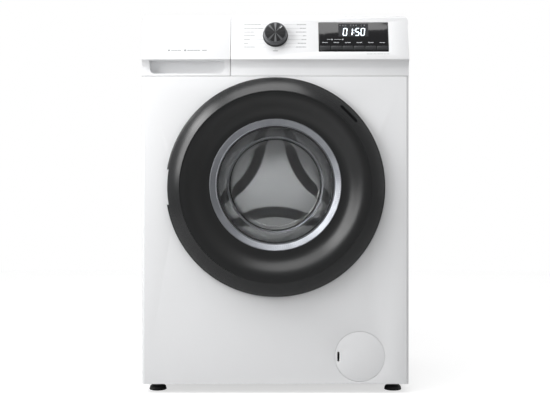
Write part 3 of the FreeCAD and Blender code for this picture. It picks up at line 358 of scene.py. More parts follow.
def arithmetic(nodes, links, operation, first, second=None):
    node = nodes.new("ShaderNodeMath")
    node.operation = operation
    for socket, value in zip(node.inputs, (first, second)):
        if isinstance(value, (int, float)):
            socket.default_value = value
        elif value is not None:
            links.new(value, socket)
    return node.outputs[0]


def knob_face_painted_highlights():
    """Dark knob face with painted highlights: three faint fans of painted light above and three below, about the knob's
    own axis, in place of the sheen of turned metal.
    """
    material, nodes, links, shader = shader_of("knob_face")
    coordinates = nodes.new("ShaderNodeTexCoord")
    split = nodes.new("ShaderNodeSeparateXYZ")
    links.new(coordinates.outputs["Object"], split.inputs["Vector"])
    folded = arithmetic(nodes, links, "ABSOLUTE", split.outputs["Y"])
    angle = arithmetic(nodes, links, "ARCTAN2", folded, split.outputs["X"])
    painted_highlight_fans = arithmetic(nodes, links, "SINE", arithmetic(nodes, links, "MULTIPLY", angle, 9.0))
    upright = arithmetic(nodes, links, "POWER", arithmetic(nodes, links, "SINE", angle), 2.0)
    share = arithmetic(nodes, links, "MULTIPLY", arithmetic(nodes, links, "MAXIMUM", painted_highlight_fans, 0.0), upright)
    # The base colour carries the painted highlights: it is lighter where the fans fall.
    links.new(tint(nodes, links, share, (0.012, 0.012, 0.013), (0.16, 0.163, 0.17)), shader.inputs["Base Color"])
    shader.inputs["Metallic"].default_value = 0.5
    fine = noise(nodes, links, 2200, 2)
    links.new(spread(nodes, links, fine, 0.28, 0.42), shader.inputs["Roughness"])
    bump(nodes, links, fine, shader, 0.00001)
    return material


MATERIALS = {}


def make_materials():
    M = MATERIALS
    M["white_enamel"] = surface("white_enamel", (0.80, 0.805, 0.815), 0.32, coat=0.25, grain=520, depth=0.000012,
                                shade=0.008, wander=0.04)
    M["white_plastic"] = surface("white_plastic", (0.80, 0.805, 0.815), 0.30, grain=1500, depth=0.000006, shade=0.008)
    M["white_laminate"] = surface("white_laminate", (0.78, 0.785, 0.795), 0.38, grain=800, depth=0.00003, shade=0.012)
    M["dark_ring"] = surface("dark_ring", (0.010, 0.0105, 0.0112), 0.27, metallic=0.0, grain=2600,
                             depth=0.000006, shade=0.05)
    M["dark_cowl"] = surface("dark_cowl", (0.009, 0.0094, 0.0098), 0.34, grain=2400, depth=0.000006,
                             shade=0.05)
    M["glass"] = clear_glass("bowl_glass")
    M["drum_steel"] = brushed("drum_steel", (0.60, 0.605, 0.62), 0.30, (1, 0.04, 1))
    M["star_steel"] = surface("star_steel", (0.88, 0.885, 0.90), 0.42, metallic=0.7, grain=700, depth=0.000004,
                              shade=0.03, mottle=6)
    M["galvanised"] = surface("galvanised", (0.56, 0.57, 0.58), 0.42, metallic=0.9, grain=160, depth=0.00003,
                              shade=0.12, mottle=70)
    M["steel"] = brushed("steel", (0.55, 0.56, 0.58), 0.32, (1, 1, 0.1))
    M["black_plastic"] = surface("black_plastic", (0.018, 0.018, 0.02), 0.5, grain=1800, depth=0.00002, shade=0.1)
    M["grey_plastic"] = surface("grey_plastic", (0.3, 0.31, 0.32), 0.5, grain=1500, depth=0.00002)
    M["tub_plastic"] = surface("tub_plastic", (0.66, 0.67, 0.68), 0.45, grain=1200, depth=0.00002)
    M["window_black"] = surface("window_black", (0.006, 0.006, 0.007), 0.07, coat=0.1, grain=400, depth=0.000001,
                                wander=0.02)
    M["key_grey"] = surface("key_grey", (0.028, 0.029, 0.031), 0.3, grain=2500, depth=0.000005)
    M["knob_dark"] = knob_face_painted_highlights()
    M["knob_grey"] = surface("knob_side", (0.10, 0.102, 0.108), 0.3, metallic=0.6, grain=2400, depth=0.000008)
    M["knob_rim"] = surface("knob_rim", (0.015, 0.015, 0.017), 0.35, grain=2400, depth=0.000008)
    M["rubber_grey"] = surface("rubber_grey", (0.38, 0.385, 0.39), 0.6, grain=900, depth=0.00005, shade=0.08)
    M["rubber_black"] = surface("rubber_black", (0.014, 0.014, 0.015), 0.6, grain=900, depth=0.00004, shade=0.1)
    M["concrete"] = surface("concrete", (0.42, 0.41, 0.39), 0.9, grain=260, depth=0.0006, shade=0.2, mottle=40)
    M["aluminium"] = surface("aluminium", (0.62, 0.63, 0.65), 0.45, metallic=1.0, grain=420, depth=0.00008, shade=0.08)
    M["lifter_grey"] = surface("lifter_grey", (0.5, 0.51, 0.52), 0.4, grain=1500, depth=0.00002)
    M["board_green"] = surface("board_green", (0.03, 0.14, 0.06), 0.4, grain=300, depth=0.00005, shade=0.25, mottle=120)
    M["blue_plastic"] = surface("blue_plastic", (0.05, 0.15, 0.35), 0.45, grain=1500, depth=0.00002)
    M["trim_silver"] = trim_material()
    M["ink_grey"] = surface("ink_grey", (0.26, 0.265, 0.275), 0.6, grain=3000, depth=0.000002, shade=0.1)
    M["ink_pale"] = surface("ink_pale", (0.55, 0.56, 0.58), 0.6, grain=3000, depth=0.000002, shade=0.1)
    M["display_glow"] = glowing("display_glow", (0.85, 0.93, 1.0), 2.2)
    M["display_field"] = surface("display_field", (0.02, 0.021, 0.024), 0.25, grain=2000, depth=0.000002)
    M["seam_dark"] = surface("seam_dark", (0.05, 0.05, 0.055), 0.7, grain=900, depth=0.00002)


def trim_material():
    """Bright metal with fine radial ribs round the glass."""
    material, nodes, links, shader = shader_of("trim_silver")
    shader.inputs["Metallic"].default_value = 1.0
    fine = noise(nodes, links, 900, 3)
    links.new(tint(nodes, links, noise(nodes, links, 25, 3), (0.22, 0.23, 0.25), (0.40, 0.41, 0.44)),
              shader.inputs["Base Color"])
    links.new(spread(nodes, links, fine, 0.38, 0.5), shader.inputs["Roughness"])
    bump(nodes, links, radial_lines(nodes, links, 190, DRUM_CENTRE.z), shader, 0.0004, 0.3)
    return material


def dress(piece, body, slot, nodes=(), look=None):
    """Give a piece its material and the body that it moves with, and hide the CAD nodes that it stands for."""
    piece.data.materials.clear()
    piece.data.materials.append(MATERIALS[look or slot])
    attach(piece, body)
    if nodes:
        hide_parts(*nodes)
    return piece


def dress_frame():
    """The carried-over CAD nodes take the material of their slot."""
    slots = {entry["node"]: entry["material_slot"] for entry in frame["record"]["subparts"]}
    for node, thing in frame["nodes"].items():
        thing.data.materials.clear()
        thing.data.materials.append(MATERIALS[slots[node]])


# ---- the door ----

RING_BACK, RING_FRONT = RING_HIGH.y, RING_LOW.y
NOTCH_FLOOR, NOTCH_HALF = -0.2721, 39 * MM
RING_RADIUS = (RING_HIGH.z - RING_LOW.z) / 2
RIDGE = RING_RADIUS - 32 * MM
GLASS_RIM, BOWL = 146 * MM, 108 * MM
BOWL_END = GLASS_HIGH.y
DIAGONAL = math.sqrt(0.5)


def arc_points(start, end, sagitta, steps=14):
    """Points along a shallow arc that bulges to the left of start to end."""
    start, end = Vector(start), Vector(end)
    along = end - start
    left = Vector((-along.y, along.x)).normalized()
    return [start + along * (i / steps) + left * (sagitta * 4 * (i / steps) * (1 - i / steps))
            for i in range(steps + 1)]


def grip_slot_cutter(half_length, half_width, front, back):
    """A straight slot at right angles to the upper right radius."""
    radial = 229 * MM
    points = rectangle(-half_length, -half_width, half_length, half_width, 2.2 * MM)
    turned = [(DIAGONAL * (radial + b) - DIAGONAL * a, DOOR_CENTRE.z + DIAGONAL * (radial + b) + DIAGONAL * a)
              for a, b in points]
    return prism("slot_shape", turned, front, back, "Y")


def make_ring():
    yb, yf, r = RING_BACK, RING_FRONT, RING_RADIUS
    bevelled = arc_points((yb - 8.6 * MM, r - 2.9 * MM), (yf + 1.2 * MM, RIDGE + 2.4 * MM), -1.6 * MM)
    rim = arc_points((yb - 4.5 * MM, r), (yb - 8.6 * MM, r - 2.9 * MM), -1.1 * MM, 6)
    profile = [(yb, r), *rim, *bevelled[1:], (yf + 0.35 * MM, RIDGE + 1.1 * MM), (yf, RIDGE), (yf + 0.2 * MM, RIDGE - 1 * MM),
               (yf + 3 * MM, RIDGE - 1.1 * MM), (yf + 3 * MM, RIDGE + 1 * MM), (yb - 6.6 * MM, r - 5 * MM), (yb, r - 3 * MM)]
    ring = lathe("door_ring_finish", profile, DOOR_CENTRE, 360)
    notch = prism("hinge_notch", rectangle(-r - 1 * MM, NOTCH_FLOOR, -r + 26 * MM, yb + 1 * MM),
                  DOOR_CENTRE.z - NOTCH_HALF, DOOR_CENTRE.z + NOTCH_HALF, "Z")
    carve(ring, [grip_slot_cutter(25 * MM, 3.2 * MM, yf, yb), notch])
    dress(smooth(ring, 24), "door", "dark_ring", ["door_outer_ring"])
    insert = grip_slot_cutter(25.4 * MM, 3.4 * MM, yb - 5.5 * MM, yb - 3 * MM)
    insert.name = "grip_slot_floor"
    dress(insert, "door", "black_plastic", ["grip_slot_insert"])


def smoothstep(share):
    return share * share * (3 - 2 * share)


def make_cowl():
    """The dished surround: shallow at the ridge, steep half way down, shallow again at the glass."""
    lift = DRUM_CENTRE.z - DOOR_CENTRE.z
    front, back = RING_FRONT + 1.2 * MM, RING_BACK - 5 * MM
    outside, inside = RIDGE - 1.1 * MM, GLASS_RIM + 1 * MM
    profile, shifts = [], []
    for step in range(25):
        share = step / 24
        fall = smoothstep(share) * 0.3 + smoothstep(smoothstep(share)) * 0.7
        profile.append((front + (back - front) * fall, outside + (inside - outside) * share))
        shifts.append(lift * share)
    for y, radius in ((back + 3 * MM, inside), (back + 3.5 * MM, inside + 8 * MM)):
        profile.append((y, radius))
        shifts.append(lift)
    for step in range(23, -1, -1):
        y, radius = profile[step]
        profile.append((y + 2.4 * MM, radius + 0.8 * MM))
        shifts.append(shifts[step])
    cowl = lathe("door_cowl_finish", profile, DOOR_CENTRE, 320, shifts=shifts)
    dress(smooth(cowl, 30), "door", "dark_cowl", ["door_cowl"])


def make_glass():
    yb, ye, t = RING_BACK, BOWL_END, 5 * MM
    wall_out = [(yb - 0.5 * MM, GLASS_RIM + 2.5 * MM), (yb + 12 * MM, GLASS_RIM - 2 * MM),
                (yb + 60 * MM, BOWL + 18 * MM), (ye - 16 * MM, BOWL + 4 * MM)]
    corner_out = [(ye - 16 * MM + 16 * MM * math.sin(a), BOWL - 14 * MM + 18 * MM * math.cos(a))
                  for a in (math.radians(10 * i) for i in range(1, 10))]
    corner_in = [(ye - 16 * MM + 11 * MM * math.sin(a), BOWL - 14 * MM + 13 * MM * math.cos(a))
                 for a in (math.radians(10 * i) for i in range(9, 0, -1))]
    wall_in = [(ye - 16 * MM, BOWL - 1 * MM), (yb + 60 * MM, BOWL + 18 * MM - t), (yb + 12 * MM, GLASS_RIM - 2 * MM - t),
               (yb - 3.2 * MM, GLASS_RIM - t + 2 * MM), (yb - 3.2 * MM, GLASS_RIM + 8 * MM), (yb - 0.5 * MM, GLASS_RIM + 8 * MM)]
    end_out = [(ye, radius * MM) for radius in (80, 50, 20)]
    end_in = [(ye - t, radius * MM) for radius in (20, 50, 80)]
    profile = wall_out + corner_out + end_out + [(ye, 0)] + [(ye - t, 0)] + end_in + corner_in + wall_in
    glass = lathe("door_bowl", profile, DRUM_CENTRE, 240)
    dress(smooth(glass, 40), "door", "glass", ["door_glass"])
    trim = lathe("glass_trim", [
        (yb - 3.8 * MM, GLASS_RIM + 1.2 * MM), (yb - 4.6 * MM, GLASS_RIM - 0.6 * MM), (yb - 3.9 * MM, GLASS_RIM - 2 * MM),
        (yb + 3 * MM, 133.5 * MM), (yb + 2.4 * MM, 131.4 * MM), (yb + 3.4 * MM, 131 * MM), (yb + 4.2 * MM, 133.5 * MM),
        (yb - 2.4 * MM, GLASS_RIM + 0.6 * MM)], DRUM_CENTRE, 320)
    dress(smooth(trim, 35), "door", "drum_steel", look="trim_silver")
    # Painted shade: a black ring just inside the trim stands for the dark band of shade there.
    shade = lathe("glass_painted_shade", [
        (yb + 3.6 * MM, 130.6 * MM), (yb + 4.2 * MM, 127 * MM), (yb + 4.8 * MM, 127 * MM), (yb + 4.2 * MM, 130.9 * MM)],
        DRUM_CENTRE, 240)
    dress(smooth(shade), "door", "black_plastic")
    # Painted highlight: a bright metal ring at the bowl's corner stands for the glass's gleam there.
    gleam = [(-172, 107.6), (-173.2, 108.6), (-173.4, 110.2), (-171.6, 111), (-170.4, 110), (-170.4, 108.2)]
    dress(smooth(lathe("glass_painted_highlight", [(y * MM, r * MM) for y, r in gleam], DRUM_CENTRE, 240), 60), "door", "drum_steel",
          look="trim_silver")
    # Painted shade: a thin black ring just inside the gleam stands for a dark line of shade.
    line = [(-166, 104.2), (-167, 104.2), (-167, 105.6), (-166, 105.6)]
    dress(smooth(lathe("glass_painted_shade_line", [(y * MM, r * MM) for y, r in line], DRUM_CENTRE, 240)), "door", "black_plastic")
    dress(refined("door_back_frame", "door_inner_frame", 0.6 * MM), "door", "black_plastic", ["door_inner_frame"])


# ---- the drum and the tub ----

STAR_FRONT, FLOOR = 118 * MM, 138 * MM
DRUM_LOW, DRUM_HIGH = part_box("drum_shell")
DRUM_RADIUS = (DRUM_HIGH.z - DRUM_LOW.z) / 2


def outside_star(x, z):
    """How far a point lies outside the raised three-armed star, whose sides are three large concave arcs."""
    angle = math.atan2(z, x)
    off = (angle - math.radians(30) + math.radians(60)) % math.radians(120) - math.radians(60)
    radius = math.hypot(x, z)
    along, across = radius * math.cos(off), abs(radius * math.sin(off))
    down_arm = radius * math.cos(math.radians(60) - abs(off))
    if down_arm > STAR_BITE_FAR / 2:
        return radius * math.sin(math.radians(60) - abs(off)) - STAR_ARM
    return STAR_CURVE - math.hypot(along - STAR_BITE_FAR, across)


STAR_ARM, STAR_CURVE = 22 * MM, 204 * MM
STAR_BITE_FAR = 2 * (STAR_CURVE + STAR_ARM) / math.sqrt(3)


def make_drum_back():
    """A pressed disc: the star stands forward of the floor on sloping sides with rounded edges."""
    rings, around, outer = 150, 720, DRUM_RADIUS - 2 * MM
    vertices, faces = [(0, STAR_FRONT, DRUM_CENTRE.z)], []
    for ring in range(1, rings + 1):
        radius = outer * ring / rings
        for step in range(around):
            angle = 2 * math.pi * step / around
            clear = outside_star(radius * math.cos(angle), radius * math.sin(angle))
            slope = min(max(clear / (27 * MM), 0), 1)
            rise = smoothstep(slope) * 0.4 + slope * 0.6
            rim = min(max((radius - 205 * MM) / (22 * MM), 0), 1)
            depth = STAR_FRONT + (FLOOR - STAR_FRONT) * max(rise, smoothstep(rim))
            vertices.append((radius * math.cos(angle), depth, DRUM_CENTRE.z + radius * math.sin(angle)))
    for step in range(around):
        faces.append((0, 1 + step, 1 + (step + 1) % around))
    for ring in range(rings - 1):
        here, there = 1 + ring * around, 1 + (ring + 1) * around
        for step in range(around):
            following = (step + 1) % around
            faces.append((here + step, there + step, there + following, here + following))
    back = mend(new_piece("drum_back_pressing", vertices, faces))
    modifier = back.modifiers.new("wall", "SOLIDIFY")
    modifier.thickness = 0.8 * MM
    modifier.offset = 0
    settle(back)
    dress(smooth(back, 60), "drum", "drum_steel", ["drum_back"], look="star_steel")


def make_drum_shell():
    """The drum's wall, rolled front and rows of real holes."""
    low, high, r, mouth = DRUM_LOW.y, DRUM_HIGH.y, DRUM_RADIUS, 150 * MM
    front = [(low + 2 * MM, mouth - 2 * MM), (low, mouth), (low, mouth + 4 * MM), (low, r - 8 * MM)]
    corner = [(low + 8 * MM - 8 * MM * math.cos(a), r - 8 * MM + 8 * MM * math.sin(a))
              for a in (math.radians(15 * i) for i in range(1, 7))]
    front_piece = lathe("drum_front", front + corner, DRUM_CENTRE, 240, closed=False)
    around, along = 120, 16
    start, end = low + 8 * MM, high
    work = bmesh.new()
    step_y = (end - start) / along
    hole = 0.42
    for row in range(along):
        for column in range(around):
            corners = [(u, v) for u, v in ((0, 0), (1, 0), (1, 1), (0, 1))]
            ring = [(0.5 + hole * 0.5 * math.cos(math.radians(45 * i + 225)),
                     0.5 + hole * 0.5 * math.sin(math.radians(45 * i + 225))) for i in range(8)]
            def spot(u, v):
                angle = 2 * math.pi * (column + u) / around
                return work.verts.new((r * math.cos(angle), start + (row + v) * step_y, DRUM_CENTRE.z + r * math.sin(angle)))
            outside = [spot(u, v) for u, v in corners]
            inner = [spot(u, v) for u, v in ring]
            for side in range(4):
                a, b = outside[side], outside[(side + 1) % 4]
                work.faces.new((a, b, inner[(2 * side + 2) % 8], inner[2 * side + 1], inner[2 * side]))
    mesh = bpy.data.meshes.new("drum_wall")
    work.to_mesh(mesh)
    work.free()
    wall = link("drum_wall", mesh)
    mend(wall)
    for piece in (wall, front_piece):
        modifier = piece.modifiers.new("wall", "SOLIDIFY")
        modifier.thickness = 0.6 * MM
        modifier.offset = 0
        settle(piece)
        dress(smooth(piece, 40), "drum", "drum_steel")
    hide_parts("drum_shell")


def make_lifters():
    lifters = refined("lifters_finish", "drum_lifters", 3 * MM, 4)
    dress(lifters, "drum", "lifter_grey", ["drum_lifters"])


def make_gasket():
    """The folded rubber between the front panel and the tub."""
    low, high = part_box("door_gasket")
    outer = (high.x - low.x) / 2
    lip = outer - 24 * MM
    points = [(low.y, outer), (low.y, lip + 6 * MM), (low.y + 2 * MM, lip), (low.y + 6 * MM, lip - 2 * MM),
              (low.y + 12 * MM, lip + 1 * MM), (low.y + 17 * MM, lip + 7 * MM), (low.y + 20 * MM, outer - 9 * MM),
              (low.y + 24 * MM, outer - 12 * MM), (low.y + 29 * MM, lip + 6 * MM), (high.y - 5 * MM, lip + 5 * MM),
              (high.y, lip + 8 * MM), (high.y, lip + 11 * MM), (high.y - 5 * MM, lip + 8 * MM),
              (low.y + 28 * MM, lip + 9 * MM), (low.y + 24 * MM, outer - 9 * MM), (low.y + 18 * MM, outer - 6 * MM),
              (low.y + 14 * MM, outer - 12 * MM), (low.y + 8 * MM, lip + 3 * MM), (low.y + 3 * MM, lip + 6 * MM),
              (low.y + 3 * MM, outer)]
    gasket = lathe("gasket_finish", rounded_path([(y, r, 1.1 * MM) for y, r in points], 3), DRUM_CENTRE, 200)
    gasket.data.materials.append(MATERIALS["rubber_grey"])
    smooth(gasket, 50)
    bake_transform(gasket)
    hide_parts("door_gasket")


def soft_copy(name, node, slot):
    """A finished copy of a CAD node that runs between the cabinet and the tub."""
    piece = refined(name, node)
    piece.data.materials.append(MATERIALS[slot])
    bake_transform(piece)
    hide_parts(node)
    return piece


# ---- the control panel ----

def flat_on_face(name, outline, low, high, edge=0.0, slot="white_plastic", body="cabinet", look=None):
    """A plate on the leaning face between two heights, with its front edges rounded."""
    plate = prism(name, outline, low, high, "Z")
    if edge:
        bevel(plate, edge, 3, 50)
    plate.matrix_world = on_face()
    return dress(smooth(plate, 35), body, slot, look=look)


WINDOW = face_place("display_window")
WINDOW_WIDTH = span("display_window").x
WINDOW_LENGTH = face_length("display_window", 1.8 * MM)


SEGMENTS = {"0": "abcdef", "1": "bc", "2": "abged", "3": "abgcd", "4": "fgbc", "5": "afgcd", "6": "afgedc",
            "7": "abc", "8": "abcdefg", "9": "abcdfg"}


def digit_bars(character, x, y, width, height, thick):
    """The lit bars of one seven-segment digit as outlines."""
    half, gap = height / 2, thick * 0.18
    spots = {"a": (x, y + height, 0), "g": (x, y + half, 0), "d": (x, y, 0), "f": (x, y + half, 1), "b": (x + width, y + half, 1),
             "e": (x, y, 1), "c": (x + width, y, 1)}
    bars = []
    for segment in SEGMENTS[character]:
        left, low, standing = spots[segment]
        length = (half if standing else width) - 2 * gap
        ends = [(gap, 0), (gap + thick / 2, thick / 2), (gap + length - thick / 2, thick / 2), (gap + length, 0),
                (gap + length - thick / 2, -thick / 2), (gap + thick / 2, -thick / 2)]
        slant = 0.1
        bar = [(left + b, low + a) if standing else (left + a, low + b) for a, b in ends]
        bars.append([(u + slant * (v - y), v) for u, v in bar])
    return bars


def many_prisms(name, outlines, low, high):
    """Several flat shapes in one mesh."""
    vertices, faces = [], []
    for shape in outlines:
        first, count = len(vertices), len(shape)
        vertices += [(u, v, height) for height in (low, high) for u, v in shape]
        faces += [(first + i, first + (i + 1) % count, first + count + (i + 1) % count, first + count + i)
                  for i in range(count)]
        faces += [tuple(first + i for i in range(count)), tuple(first + 2 * count - 1 - i for i in range(count))]
    return mend(new_piece(name, vertices, faces, on_face()))


def disc_outline(x, y, radius, steps=20):
    return [(x + radius * math.cos(2 * math.pi * i / steps), y + radius * math.sin(2 * math.pi * i / steps))
            for i in range(steps)]


def box_outline(left, low, right, high):
    return [(left, low), (right, low), (right, high), (left, high)]


def make_window():
    left, right = WINDOW.x - WINDOW_WIDTH / 2, WINDOW.x + WINDOW_WIDTH / 2
    low, high = WINDOW.y - WINDOW_LENGTH / 2, WINDOW.y + WINDOW_LENGTH / 2
    top = WINDOW.z + 0.9 * MM
    cutters = []
    for body in KEYS:
        place = face_place(body)
        width, length = span(body).x / 2 + 0.25 * MM, KEY_LENGTH / 2 + 0.25 * MM
        cutters.append(prism("key_hole", box_outline(place.x - width, place.y - length, place.x + width, place.y + length),
                             WINDOW.z - 4 * MM, WINDOW.z + 4 * MM, "Z"))
    plate = prism("window_plate", rectangle(left, low, right, high, 2 * MM), top - 1.6 * MM, top, "Z")
    carve(plate, cutters)
    bevel(plate, 0.35 * MM, 3, 50)
    plate.matrix_world = on_face()
    dress(smooth(plate, 30), "cabinet", "window_black", ["display_window"])
    field = [box_outline(left + 44.7 * MM, low + 37.5 * MM, left + 111.7 * MM, low + 69 * MM)]
    ink = top + 0.03 * MM
    dress(many_prisms("display_field", field, top - 0.1 * MM, ink), "cabinet", "window_black", look="display_field")
    digits, spot, row = [], left + 55 * MM, low + 40 * MM
    for character in "01:50":
        if character == ":":
            digits += [disc_outline(spot - 0.9 * MM + rise * 0.1, row + rise, 0.9 * MM) for rise in (6 * MM, 13 * MM)]
            spot += 3 * MM
            continue
        digits += digit_bars(character, spot, row, 7.6 * MM, 17.2 * MM, 1.7 * MM)
        spot += 12.2 * MM
    dress(many_prisms("display_digits", digits, ink - 0.02 * MM, ink + 0.04 * MM), "cabinet", "window_black",
          look="display_glow")
    marks = [box_outline(left + (47 + 6 * i) * MM, low + 63.5 * MM, left + (50.5 + 6 * i) * MM, low + 66.5 * MM)
             for i in range(10) if i % 4 != 3]
    marks += [disc_outline(left + x * MM, low + 30 * MM, 1.9 * MM, 4) for x in (30, 54)]
    marks += [box_outline(left + x * MM, low + 29.7 * MM, left + (x + 8) * MM, low + 30.4 * MM) for x in (19, 35, 43)]
    for node in KEYS:
        marks += words(face_place(node).x - 6 * MM, low + 22.4 * MM, 12 * MM, 1.6 * MM)
    dress(many_prisms("window_marks", marks, ink - 0.06 * MM, ink), "cabinet", "window_black", look="ink_pale")


def words(left, level, length, height):
    """A row of small bars that reads as a line of fine print."""
    bars, spot, number = [], left, 0
    while spot < left + length - 0.6 * MM:
        width = (1.1, 1.7, 0.8, 1.4, 2.0)[number % 5] * MM
        end = min(spot + width, left + length)
        bars.append(box_outline(spot, level - height / 2, end, level + height / 2))
        spot = end + (0.9 if number % 4 == 3 else 0.35) * MM
        number += 1
    return bars


KEYS = ["temperature_key", "spin_key", "extra_rinse_key", "delay_key", "options_key", "start_pause_key"]
KEY_LENGTH = 9.1 * MM
KEY_BODIES = {node: node.replace("_key", "_button") for node in KEYS}


def make_keys():
    for node in KEYS:
        place, width = face_place(node), span(node).x
        top = KEY_TOP
        outline = rectangle(place.x - width / 2, place.y - KEY_LENGTH / 2, place.x + width / 2, place.y + KEY_LENGTH / 2,
                            1.1 * MM)
        cap = prism(node + "_cap", outline, top - 3 * MM, top, "Z")
        bevel(cap, 0.7 * MM, 4, 50)
        cap.matrix_world = on_face()
        dress(smooth(cap, 35), KEY_BODIES[node], "key_grey", [node])


KEY_TOP = max((on_face().inverted() @ vertex.co).z for vertex in frame["nodes"]["spin_key"].data.vertices)


def turned_on_face(name, profile, segments=160):
    """A (radius, height) profile turned about the selector's axis."""
    vertices, faces = [], []
    for radius, height in profile:
        for step in range(segments):
            angle = 2 * math.pi * step / segments
            vertices.append((radius * math.cos(angle), radius * math.sin(angle), height))
    count = len(profile)
    for index in range(count - 1):
        here, there = index * segments, (index + 1) * segments
        for step in range(segments):
            following = (step + 1) % segments
            faces.append((here + step, here + following, there + following, there + step))
    piece = new_piece(name, vertices, faces, on_face())
    return mend(piece)


def make_knob():
    high = max((on_face().inverted() @ v.co).z for v in frame["nodes"]["knob_cap"].data.vertices)
    low = min((on_face().inverted() @ v.co).z for v in frame["nodes"]["knob_skirt"].data.vertices)
    skirt = turned_on_face("knob_base_rim", [(0.0001, low), (27.6 * MM, low), (28 * MM, low + 0.5 * MM), (28 * MM, low + 2.6 * MM),
                                             (27.5 * MM, low + 3.4 * MM), (26.4 * MM, low + 3.8 * MM), (20 * MM, low + 3.8 * MM)])
    dress(smooth(skirt), "knob", "knob_dark", ["knob_skirt"], look="knob_rim")
    side = [(26.2 * MM, low + 3.6 * MM), (25.9 * MM, low + 8 * MM), (25.4 * MM, high - 2.6 * MM)]
    edge = [(25.4 * MM - 2 * MM * (1 - math.cos(a)), high - 2.6 * MM + 2.2 * MM * math.sin(a))
            for a in (math.radians(15 * i) for i in range(1, 7))]
    body = turned_on_face("knob_side_wall", side + edge + [(22.9 * MM, high - 0.6 * MM)])
    dress(smooth(body, 30), "knob", "knob_grey", ["knob_cap"])
    face = [(22.9 * MM, high - 0.62 * MM), (22 * MM, high - 0.5 * MM), (10 * MM, high - 0.2 * MM), (0.05 * MM, high - 0.15 * MM)]
    dress(smooth(turned_on_face("knob_face", face)), "knob", "knob_dark")
    direction = math.radians(45)
    dash = []
    for u, v in rectangle(14 * MM, -0.8 * MM, 21 * MM, 0.8 * MM, 0.7 * MM):
        dash.append((u * math.cos(direction) - v * math.sin(direction), u * math.sin(direction) + v * math.cos(direction)))
    dress(many_prisms("knob_pointer", [dash], high - 0.5 * MM, high - 0.1 * MM), "knob", "knob_dark", look="ink_pale")


LEFT_ENDS = (261, 262.9, 253.9, 255, 249.5, 248.2, 255.2)
RIGHT_STARTS = (297, 300, 295.9, 302.9, 301.6, 297.8, 295.9)
PITCH = 2.228 * MM


def thick_line(start, end, width):
    start, end = Vector(start), Vector(end)
    side = (end - start).normalized()
    side = Vector((-side.y, side.x)) * (width / 2)
    return [start - side, end - side, end + side, start + side]


def make_programme_marks():
    """Plain bars in place of the programme names, with leader lines to the selector."""
    base = face_height()
    bars, lines = [], []
    for index in range(7):
        along = (3 - index) * 9.25 * MM
        inner = (28.5 - 9 * ((3 - index) / 3) ** 2) * MM
        for side, low, high in ((-1, 244, LEFT_ENDS[index]), (1, RIGHT_STARTS[index], 306.4)):
            left, right = (low - 275.4) * PITCH, (high - 275.4) * PITCH
            bars += words(left, along, right - left, 1.9 * MM)
            outer = right + 1.5 * MM if side < 0 else left - 1.5 * MM
            if abs(outer) > inner + 1 * MM:
                lines.append(thick_line((outer, along), (side * inner, along), 0.4 * MM))
    bars += words(-5 * MM, -37 * MM, 10 * MM, 2 * MM)
    lines.append(thick_line((0, -31 * MM), (0, -34 * MM), 0.4 * MM))
    bars += words((366.7 - 275.4) * PITCH, -44.6 * MM, 50 * MM, 1.1 * MM)
    dress(many_prisms("programme_bars", bars, base - 0.3 * MM, base + 0.03 * MM), "cabinet", "white_plastic", look="ink_grey")
    dress(many_prisms("programme_lines", lines, base - 0.3 * MM, base + 0.03 * MM), "cabinet", "white_plastic",
          look="ink_grey")
    features = []
    for left, length in ((-232, 22), (-196, 28), (-163, 10)):
        features += words(left * MM, -36 * MM, length * MM, 2.4 * MM)
    features += [disc_outline(x * MM, -36 * MM, 2.4 * MM) for x in (-237, -201)]
    dress(many_prisms("drawer_marks", features, base - 0.3 * MM, base + 0.03 * MM), "drawer", "white_plastic",
          look="ink_grey")


def face_height():
    """How far the flat of the control panel stands from the selector's plane."""
    inverse = on_face().inverted()
    heights = [inverse @ vertex.co for vertex in frame["nodes"]["control_fascia"].data.vertices]
    return max(spot.z for spot in heights if 60 * MM < abs(spot.x) and abs(spot.y) < 45 * MM)


def make_panel_parts():
    for name, node, width in (("fascia_finish", "control_fascia", 0.5), ("drawer_finish", "drawer_front", 0.5)):
        body = "cabinet" if node == "control_fascia" else "drawer"
        dress(refined(name, node, width * MM, 3, 40), body, "white_plastic", [node])


# ---- the cabinet ----

def make_cabinet():
    for name, node, width, slot in (
            ("panel_finish", "front_panel", 0.9, "white_enamel"), ("wrap_finish", "cabinet_wrap", 0.25, "white_enamel"),
            ("worktop_finish", "worktop", 2.0, "white_laminate"), ("flap_frame_finish", "flap_frame", 0.3, "white_plastic"),
            ("base_finish", "base_tray", 0.5, "galvanised"), ("feet_finish", "levelling_feet", 1.0, "rubber_black")):
        dress(refined(name, node, width * MM, 3, 35), "cabinet", slot, [node])
    dress(refined("flap_finish", "service_flap", 0.5 * MM, 3, 35), "flap", "white_plastic", ["service_flap"])
    slot_middle = middle("service_flap").z
    # Painted shade: a black plate just behind the flap's slot darkens it as its shadowed depth would.
    slot = prism("flap_slot_painted_shade", rectangle(137.6 * MM, slot_middle - 10.9 * MM, 143.4 * MM, slot_middle + 10.9 * MM),
                 PANEL_LOW.y + 1.0 * MM, PANEL_LOW.y + 1.5 * MM, "Y")
    dress(slot, "flap", "black_plastic")


def make_inside():
    soft_copy("springs_finish", "suspension_springs", "steel")
    hose_low, hose_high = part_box("tub_hoses")
    fill, sump = split_by_height("tub_hoses", (hose_low.z + hose_high.z) / 2)
    for piece, start, end in ((fill, (0, 0, 0.706), (0, 0, 0.662)), (sump, (0, 0, 0.118), (0, 0, 0.208))):
        piece.data.materials.append(MATERIALS["rubber_black"])
        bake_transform(piece)
    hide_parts("tub_hoses")


def split_by_height(node, level):
    """Two finished copies of a node: its loose parts above and below a level."""
    pieces = []
    for name, above in (("fill_hose_finish", True), ("sump_hose_finish", False)):
        piece = refined(name, node)
        work = bmesh.new()
        work.from_mesh(piece.data)
        gone = [vertex for vertex in work.verts if (vertex.co.z > level) != above]
        bmesh.ops.delete(work, geom=gone, context="VERTS")
        work.to_mesh(piece.data)
        work.free()
        pieces.append(smooth(piece, 35))
    return pieces


# ---- the studio ----

